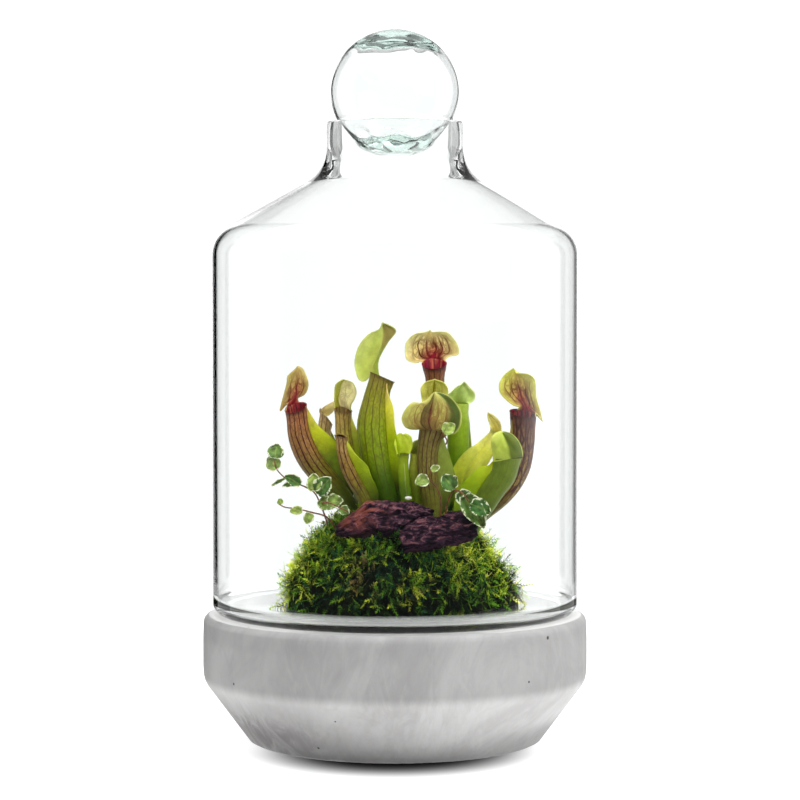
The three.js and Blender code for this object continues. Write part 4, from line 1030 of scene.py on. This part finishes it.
def scatterFronds(name, kinds, count, lengths, seed, spread):
    rough = random.Random(seed)
    corners, faces, colours = [], [], []
    for i in range(count):
        root, outward = spread(i, rough)
        kindCorners, kindFaces, kindShares = kinds[rough.randrange(len(kinds))]
        length = rough.uniform(*lengths) * mm
        lift = rough.uniform(-0.55, 0.75)
        heading = rough.uniform(-1.2, 1.2)
        down = (Vector((0, 0, -1)) + outward * outward.z).normalized() if abs(outward.z) < 0.98 else Vector((1, 0, 0))
        flat = down if rough.random() < 0.55 else -down
        flat = Matrix.Rotation(heading, 3, outward) @ flat
        forward = (flat + outward * (0.85 + lift)).normalized()
        side = forward.cross(outward).normalized()
        turn = Matrix.Rotation(rough.uniform(-0.7, 0.7), 3, forward)
        side, normal = turn @ side, turn @ side.cross(forward)
        colour = frondPaint(root, rough)
        start = len(corners)
        for (x, y, z), share in zip(kindCorners, kindShares):
            corners.append(root + (side * x + forward * y + normal * z) * length)
            # each frond darkens to its root as painted shade and brightens past its colour at the tip as painted light
            colours.append(blendPaint(moss["root"], colour, smoothStep(0.38, 1, share) * moss["tipGlow"]))
        faces.extend([tuple(start + index for index in face) for face in kindFaces])
    mesh = bpy.data.meshes.new(name)
    mesh.from_pydata(corners, [], faces)
    skin = mesh.attributes.new("skin", "FLOAT_COLOR", "POINT")
    skin.data.foreach_set("color", [channel for colour in colours for channel in (*colour, 1)])
    piece = bpy.data.objects.new(name, mesh)
    bpy.context.scene.collection.objects.link(piece)
    return piece


# the lumpy surface on which the fronds grow; r goes from 0 at the top to 1 at the foot
def mossSurface(angle, r):
    outline = moss["radius"] * (1 + 0.05 * math.sin(angle * 3 + 1) + 0.04 * math.sin(angle * 7 + 2))
    height = moundHeight(r * outline, outline)
    place = Vector((r * outline * math.cos(angle), r * outline * math.sin(angle), moss["foot"] + height)) * mm
    outward = Vector((place.x, place.y, (place.z - moss["foot"] * mm) * 0.9)).normalized()
    lump = noise.noise(place / (17 * mm)) * 4.0 + noise.noise(place / (7 * mm)) * 2.2
    place += outward * (lump - 3.4) * mm * smoothStep(0, 0.12, 1 - r + 0.05)
    place.z = max(place.z, (moss["foot"] + moss["footGap"]) * mm)
    return place, outward


def makeMossBed():
    clearSelection()
    bpy.ops.mesh.primitive_grid_add(x_subdivisions=96, y_subdivisions=26, size=1)
    piece = bpy.context.object
    piece.name = piece.data.name = "mossBed"
    for vertex in piece.data.vertices:
        angle = (vertex.co.x + 0.5) * 2 * math.pi
        vertex.co = mossSurface(angle, 1 - ((vertex.co.y + 0.5) ** 1.2))[0]
    mergeGrid(piece)
    # close the foot
    bpy.ops.object.mode_set(mode="EDIT")
    bpy.ops.mesh.select_all(action="DESELECT")
    bpy.ops.mesh.select_non_manifold()
    bpy.ops.mesh.edge_face_add()
    editAll(piece, (bpy.ops.mesh.normals_make_consistent, {"inside": False}))
    bpy.ops.object.shade_smooth()
    material, tree, shader = newMaterial("mossBedSoil", {"Roughness": 0.95, "Specular IOR Level": 0.1})
    fleck = noiseNode(tree, objectPlace(tree), 420, 4, 0.7)
    tree.links.new(mixColours(tree, maskNode(tree, fleck, 0.4, 0.65), *moss["bed"]), shader.inputs["Base Color"])
    addBump(tree, shader, fleck, 0.8, 0.0015)
    putInPlace(piece, material, "moss")


def makeMoss():
    makeMossBed()
    material, tree, shader = newMaterial("mossFrond", {"Roughness": 0.6, "Specular IOR Level": 0.06})
    tree.links.new(attributeNode(tree, "skin", "Color"), shader.inputs["Base Color"])

    def allOver(i, rough):
        angle = i * 2.39996 + rough.uniform(-0.1, 0.1)  # the golden angle, as in a seed head
        return mossSurface(angle, 1 - (rough.random() ** 1.15) * 0.97)

    # curly strands on the right and left sides, and an upright tuft at the bark's left end
    def atSides(i, rough):
        if i < moss["tuft"]:
            place, outward = mossSurface(math.radians(rough.uniform(212, 228)), rough.uniform(0.66, 0.9))
            return place, Vector((rough.uniform(-0.3, 0.1), -0.1, 1)).normalized()
        middle, half = (0, 75) if rough.random() < 0.7 else (188, 40)
        return mossSurface(math.radians(middle + rough.uniform(-half, half)), 1 - (rough.random() ** 1.15) * 0.9)

    feathers = [makeFrond(*kind) for kind in moss["frondKinds"]]
    strands = [makeFrond(*kind) for kind in moss["strandKinds"]]
    for name, kinds, count, lengths, seed, spread in (
            ("mossFrondsA", feathers, moss["fronds"], moss["length"], 20, allOver),
            ("mossFrondsB", feathers, moss["fronds"], moss["length"], 27, allOver),
            ("mossStrands", strands, moss["strands"], moss["strandLength"], 5, atSides)):
        putInPlace(scatterFronds(name, kinds, count, lengths, seed, spread), material, "moss")


bark = {
    "deep": "0a060c", "plum": "2e1c2e", "rose": "8e5c60", "rust": "a85a48", "rustShare": 0.55,
    "voxel": 0.75, "ridge": 2.6, "flake": 0.8, "inset": 0.9,  # mm
    "taper": (-38, -8, 16),  # from x, to x, how far the top sinks, in mm
}


def makeBarkSkin():
    material, tree, shader = newMaterial("bark", {"Roughness": 0.8, "Specular IOR Level": 0.1})
    place = objectPlace(tree)
    grain = noiseNode(tree, place, 230, 7, 0.7, 1.0, stretch=(0.6, 1, 1.2))
    patch = noiseNode(tree, place, 70, 4, 0.6, 0.8)
    top = attributeNode(tree, "top")
    x = axesOf(tree, place)[0]
    colour = mixColours(tree, maskNode(tree, grain, 0.36, 0.6), opaque(bark["deep"]), opaque(bark["plum"]))
    # rose grain, strongest on the faces that look up as painted light from above
    pale = timesNode(tree, maskNode(tree, grain, 0.48, 0.68), maskNode(tree, top, 0.45, 0.85, 0.18, 1.0))
    colour = mixColours(tree, pale, colour, opaque(bark["rose"]))
    # rust only towards the left, less again at the chip's very end, and mostly on the faces that look up, where it is
    # partly painted light
    across = timesNode(tree, maskNode(tree, x, 0.0, -0.008), maskNode(tree, x, -0.034, -0.022, 0.2, 1.0))
    rusty = timesNode(tree, maskNode(tree, patch, 0.42, 0.58), across)
    rusty = timesNode(tree, rusty, maskNode(tree, top, 0.5, 0.85, 0.1, 1.0))
    colour = mixColours(tree, timesNode(tree, rusty, bark["rustShare"]), colour, opaque(bark["rust"]))
    tree.links.new(colour, shader.inputs["Base Color"])
    addBump(tree, shader, grain, 0.9, 0.0012)
    return material


def makeBark():
    skin = makeBarkSkin()
    for node, name, seed in (("bark_upper", "barkUpper", 3), ("bark_lower", "barkLower", 9)):
        clearSelection()
        source = bpy.data.objects[node]
        piece = source.copy()
        piece.data = source.data.copy()
        piece.parent = None
        piece.name = piece.data.name = name
        bpy.context.scene.collection.objects.link(piece)
        editAll(piece, (bpy.ops.mesh.remove_doubles, {"threshold": 1e-6}))
        applyModifier(piece, "REMESH", mode="VOXEL", voxel_size=bark["voxel"] * mm, use_smooth_shade=True)
        vertices = piece.data.vertices
        normals = [vertex.normal.copy() for vertex in vertices]
        for vertex, normal in zip(vertices, normals):
            p = Vector((vertex.co.x * 0.45, vertex.co.y, vertex.co.z * 1.5)) / mm
            ridge = abs(noise.noise(p / 5 + Vector((seed, 0, 0)))) * bark["ridge"]
            flake = noise.noise(p / 2.1 + Vector((0, seed, 0))) * bark["flake"]
            vertex.co += normal * (ridge + flake - bark["inset"]) * mm
        start, end, sink = bark["taper"]
        heights = [vertex.co.z for vertex in vertices]
        lowest, highest = min(heights), max(heights)
        for vertex in vertices:
            share = (1 - smoothStep(start * mm, end * mm, vertex.co.x)) * (vertex.co.z - lowest) / (highest - lowest)
            vertex.co.z -= share * sink * mm
        # how far each point faces up, for the painted light on the tops in the bark's skin
        piece.data.attributes.new("top", "FLOAT", "POINT")
        piece.data.attributes["top"].data.foreach_set("value", [normal.z * 0.5 + 0.5 for normal in normals])
        bpy.ops.object.shade_smooth()
        putInPlace(piece, skin, node)


# stems run from root to tip, in mm; each leaf: stem, how far along it, heading and slope of its
# tip in degrees, length in mm, width as a share of that, how young (pale) it is
figs = {
    "fig_left": {
        "stems": [[(-34, -6, 104), (-38, -12, 124), (-42, -24, 138), (-46, -31, 146), (-55, -26, 150),
                   (-62, -23, 153), (-67, -20, 158), (-68, -20, 163)],
                  [(-42, -25, 138.5), (-37, -38, 140), (-30, -49, 138), (-25.5, -51, 136)]],
        "leaves": [(0, 1, 70, 70, 9.5, 0.95, 0.3), (0, 0.92, 150, 50, 10, 0.8, 0.6),
                   (0, 0.71, 178, 30, 11, 0.55, 0.1), (0, 0.84, 180, -28, 9, 0.14, 0.5),
                   (0, 0.76, 200, -12, 8, 0.35, 0.3), (0, 0.6, 100, 78, 11, 0.75, 0.8),
                   (0, 0.58, -10, 50, 13, 0.8, 0.1), (0, 0.53, -20, -30, 10, 0.8, 0.5),
                   (1, 0.3, -10, 8, 10, 0.8, 0.6), (1, 0.8, -20, -30, 6.5, 0.8, 0.3)],
    },
    "fig_left_low": {
        "stems": [[(-28, -12, 104), (-32, -18, 120), (-38, -30, 131), (-47, -38, 134.8), (-55, -34, 136.4),
                   (-62, -30, 137), (-66.5, -28, 139.5)]],
        "leaves": [(0, 0.96, 100, 60, 4, 0.7, 0.9), (0, 0.74, 180, -5, 7.5, 0.6, 1),
                   (0, 0.67, 190, -65, 7, 0.8, 0.7)],
    },
    "fig_right": {
        "stems": [[(23, -31, 116), (20, -12, 132), (20, -9, 152), (25, -10, 167), (29.5, -18, 173),
                   (26.5, -29, 179)],
                  [(24, -32, 116), (26, -33, 138), (24, -33, 147), (19.5, -33, 153), (20, -33, 158)]],
        "leaves": [(0, 1, 5, 30, 8.5, 0.82, 1), (1, 1, 0, 20, 5.5, 0.65, 0.9), (1, 0.9, 188, -22, 8.5, 0.85, 0.7)],
    },
    "fig_right_trailing": {
        "stems": [[(27, -33, 114), (28, -34, 130), (30, -38, 142), (33, -46, 147.5), (37, -54, 147),
                   (41, -59, 142)]],
        "leaves": [(0, 0.72, 170, 50, 11, 0.85, 0.1), (0, 0.76, -10, -48, 14, 0.65, 0.1),
                   (0, 0.86, -20, -56, 23, 0.5, 0.2), (0, 1, 0, -28, 13, 0.75, 0)],
    },
}
figPaint = {"leaf": "3c6a28", "young": "a8bc5c", "cream": "e2e4c0", "stem": "7a4a30"}
figSize = {"stem": 0.48, "leafWall": 0.4}  # mm


def makeFigLeaf(name, root, tip, length, widthShare, young, seed):
    toLight = Vector((0, -1, 0.35)).normalized()
    side = tip.cross(toLight).normalized()
    face = side.cross(tip)
    phase = random.Random(seed).uniform(0, 20)

    def place(u, v):
        w = u * 2 - 1
        petiole = smoothStep(0.0, 0.14, v)
        heart = math.sin(math.pi * max(v - 0.1, 0) ** 0.72 / 0.9 ** 0.72) if v > 0.1 else 0
        half = 0.3 + length * widthShare * 0.5 * max(heart, 0) ** 0.75 * petiole
        half *= 1 + 0.03 * math.sin(v * 13 + phase + (3 if w < 0 else 0))
        crinkle = 0.06 * math.sin(w * 7 + phase) * math.sin(v * 13 + phase) * petiole
        back = -0.06 * (1 - petiole) if v < 0.1 else 0.07 * w * w * smoothStep(0.3, 0.1, v)
        lift = 0.1 * (w * w - 4 * (v - 0.5) ** 2) + crinkle + 0.05 * abs(w)
        return root + (tip * length * (v - back) + side * half * w + face * length * lift) * mm

    # the second value draws the cream edge here
    def shade(u, v):
        w = abs(u * 2 - 1)
        edge = max(w, abs(v - 0.5) * 1.8)
        rib = smoothStep(0.1, 0.0, w) * 0.35
        colour = blendPaint(paint(figPaint["leaf"]), paint(figPaint["young"]), min(young * 0.85 + rib, 1))
        return colour, 0.06 + mixNumbers(0.94, 0.7, smoothStep(0.9, 1, young)) * smoothStep(0.45, 1, edge), 0

    return thicken(placedGrid(name, 12, 14, place, shade, (length / 4, length / 4)), figSize["leafWall"])


def makeFigStem(name, points):
    route = routeOf(points)

    def place(u, v):
        angle = u * 2 * math.pi
        along, front, side = tubeFrame(route, v, Vector((0, 1, 0)))
        knot = 1 + 0.35 * max(math.sin(v * 40), 0) ** 6
        reach = figSize["stem"] * knot * mixNumbers(1.15, 0.7, v) * (0.001 < v < 0.999)
        return route(v) + (front * math.cos(angle) + side * math.sin(angle)) * reach * mm

    def shade(u, v):
        return paint(figPaint["stem"]), 0, 0

    piece = placedGrid(name, 8, 60, place, shade)
    mergeGrid(piece)
    return piece


def makeFigSkin():
    material, tree, shader = newMaterial("figLeaf", {
        "Roughness": 0.5, "Specular IOR Level": 0.4, "Subsurface Weight": 0.1, "Subsurface Scale": 0.002})
    edge = attributeNode(tree, "vein")
    place = objectPlace(tree)
    blotch = noiseNode(tree, place, 420, 3, 0.55, 0.4)
    mottle = noiseNode(tree, place, 260, 4, 0.6)
    colour = attributeNode(tree, "skin", "Color")
    colour = mixColours(tree, 1.0, colour, maskNode(tree, mottle, 0.3, 0.7, 0.55, 1.35), "MULTIPLY")
    margin = maskNode(tree, mathNode(tree, "ADD", edge, timesNode(tree, blotch, 2.2)), 1.95, 2.1)
    isLeaf = maskNode(tree, edge, 0.0, 0.05)
    colour = mixColours(tree, timesNode(tree, margin, isLeaf), colour, opaque(figPaint["cream"]))
    tree.links.new(colour, shader.inputs["Base Color"])
    addBump(tree, shader, mottle, 0.4, 0.0004)
    return material


def makeFigs():
    skin = makeFigSkin()
    for node, spec in figs.items():
        name = leafName("fig", node)
        routes = [routeOf(stem) for stem in spec["stems"]]
        parts = [makeFigStem(name + "Stem", stem) for stem in spec["stems"]]
        for i, (stem, along, heading, slope, length, widthShare, young) in enumerate(spec["leaves"]):
            rise = math.radians(slope)
            tip = headingVector(heading) * math.cos(rise) + Vector((0, 0, math.sin(rise)))
            parts.append(makeFigLeaf(name + "Leaf", routes[stem](along), tip, length, widthShare, young, node + str(i)))
        piece = joinPieces(parts, name)
        bpy.ops.object.shade_smooth_by_angle(angle=math.radians(50))
        putInPlace(piece, skin, node)


# the soil and the perlite grain keep their CAD shape
solidLooks = {
    "soil": {"name": "peat", "roughness": 0.95, "noise": (500, 4, 0.7), "bump": None,
             "colours": ((0.01, 0.007, 0.005, 1), (0.06, 0.04, 0.025, 1))},
    "perlite_grain": {"name": "perlite", "roughness": 0.85, "noise": (900, 3, 0.6), "bump": (0.6, 0.0004),
                      "colours": ((0.6, 0.58, 0.5, 1), (0.85, 0.84, 0.8, 1))},
}


def dressSolids():
    for node, look in solidLooks.items():
        material, tree, shader = newMaterial(look["name"], {"Roughness": look["roughness"]})
        pits = noiseNode(tree, objectPlace(tree), *look["noise"])
        tree.links.new(mixColours(tree, pits, *look["colours"]), shader.inputs["Base Color"])
        if look["bump"]:
            addBump(tree, shader, pits, *look["bump"])
        for slot in bpy.data.objects[node].material_slots:
            slot.material = material


print("camera and light")
bpy.context.scene.view_settings.view_transform = "Standard"
bpy.context.scene.cycles.max_bounces = 24  # light goes round many times inside thick glass
bpy.context.scene.cycles.glossy_bounces = 16
bpy.context.scene.cycles.transmission_bounces = 24
addCamera()
addLights()
addTable()
addCards()
print("bowl, jar and ball")
makeBowl()
makeJar()
makeBall()
print("soil, moss and bark")
dressSolids()
makeMoss()
makeBark()
print("pitcher plants")
makePitchers()
print("creeping fig")
makeFigs()
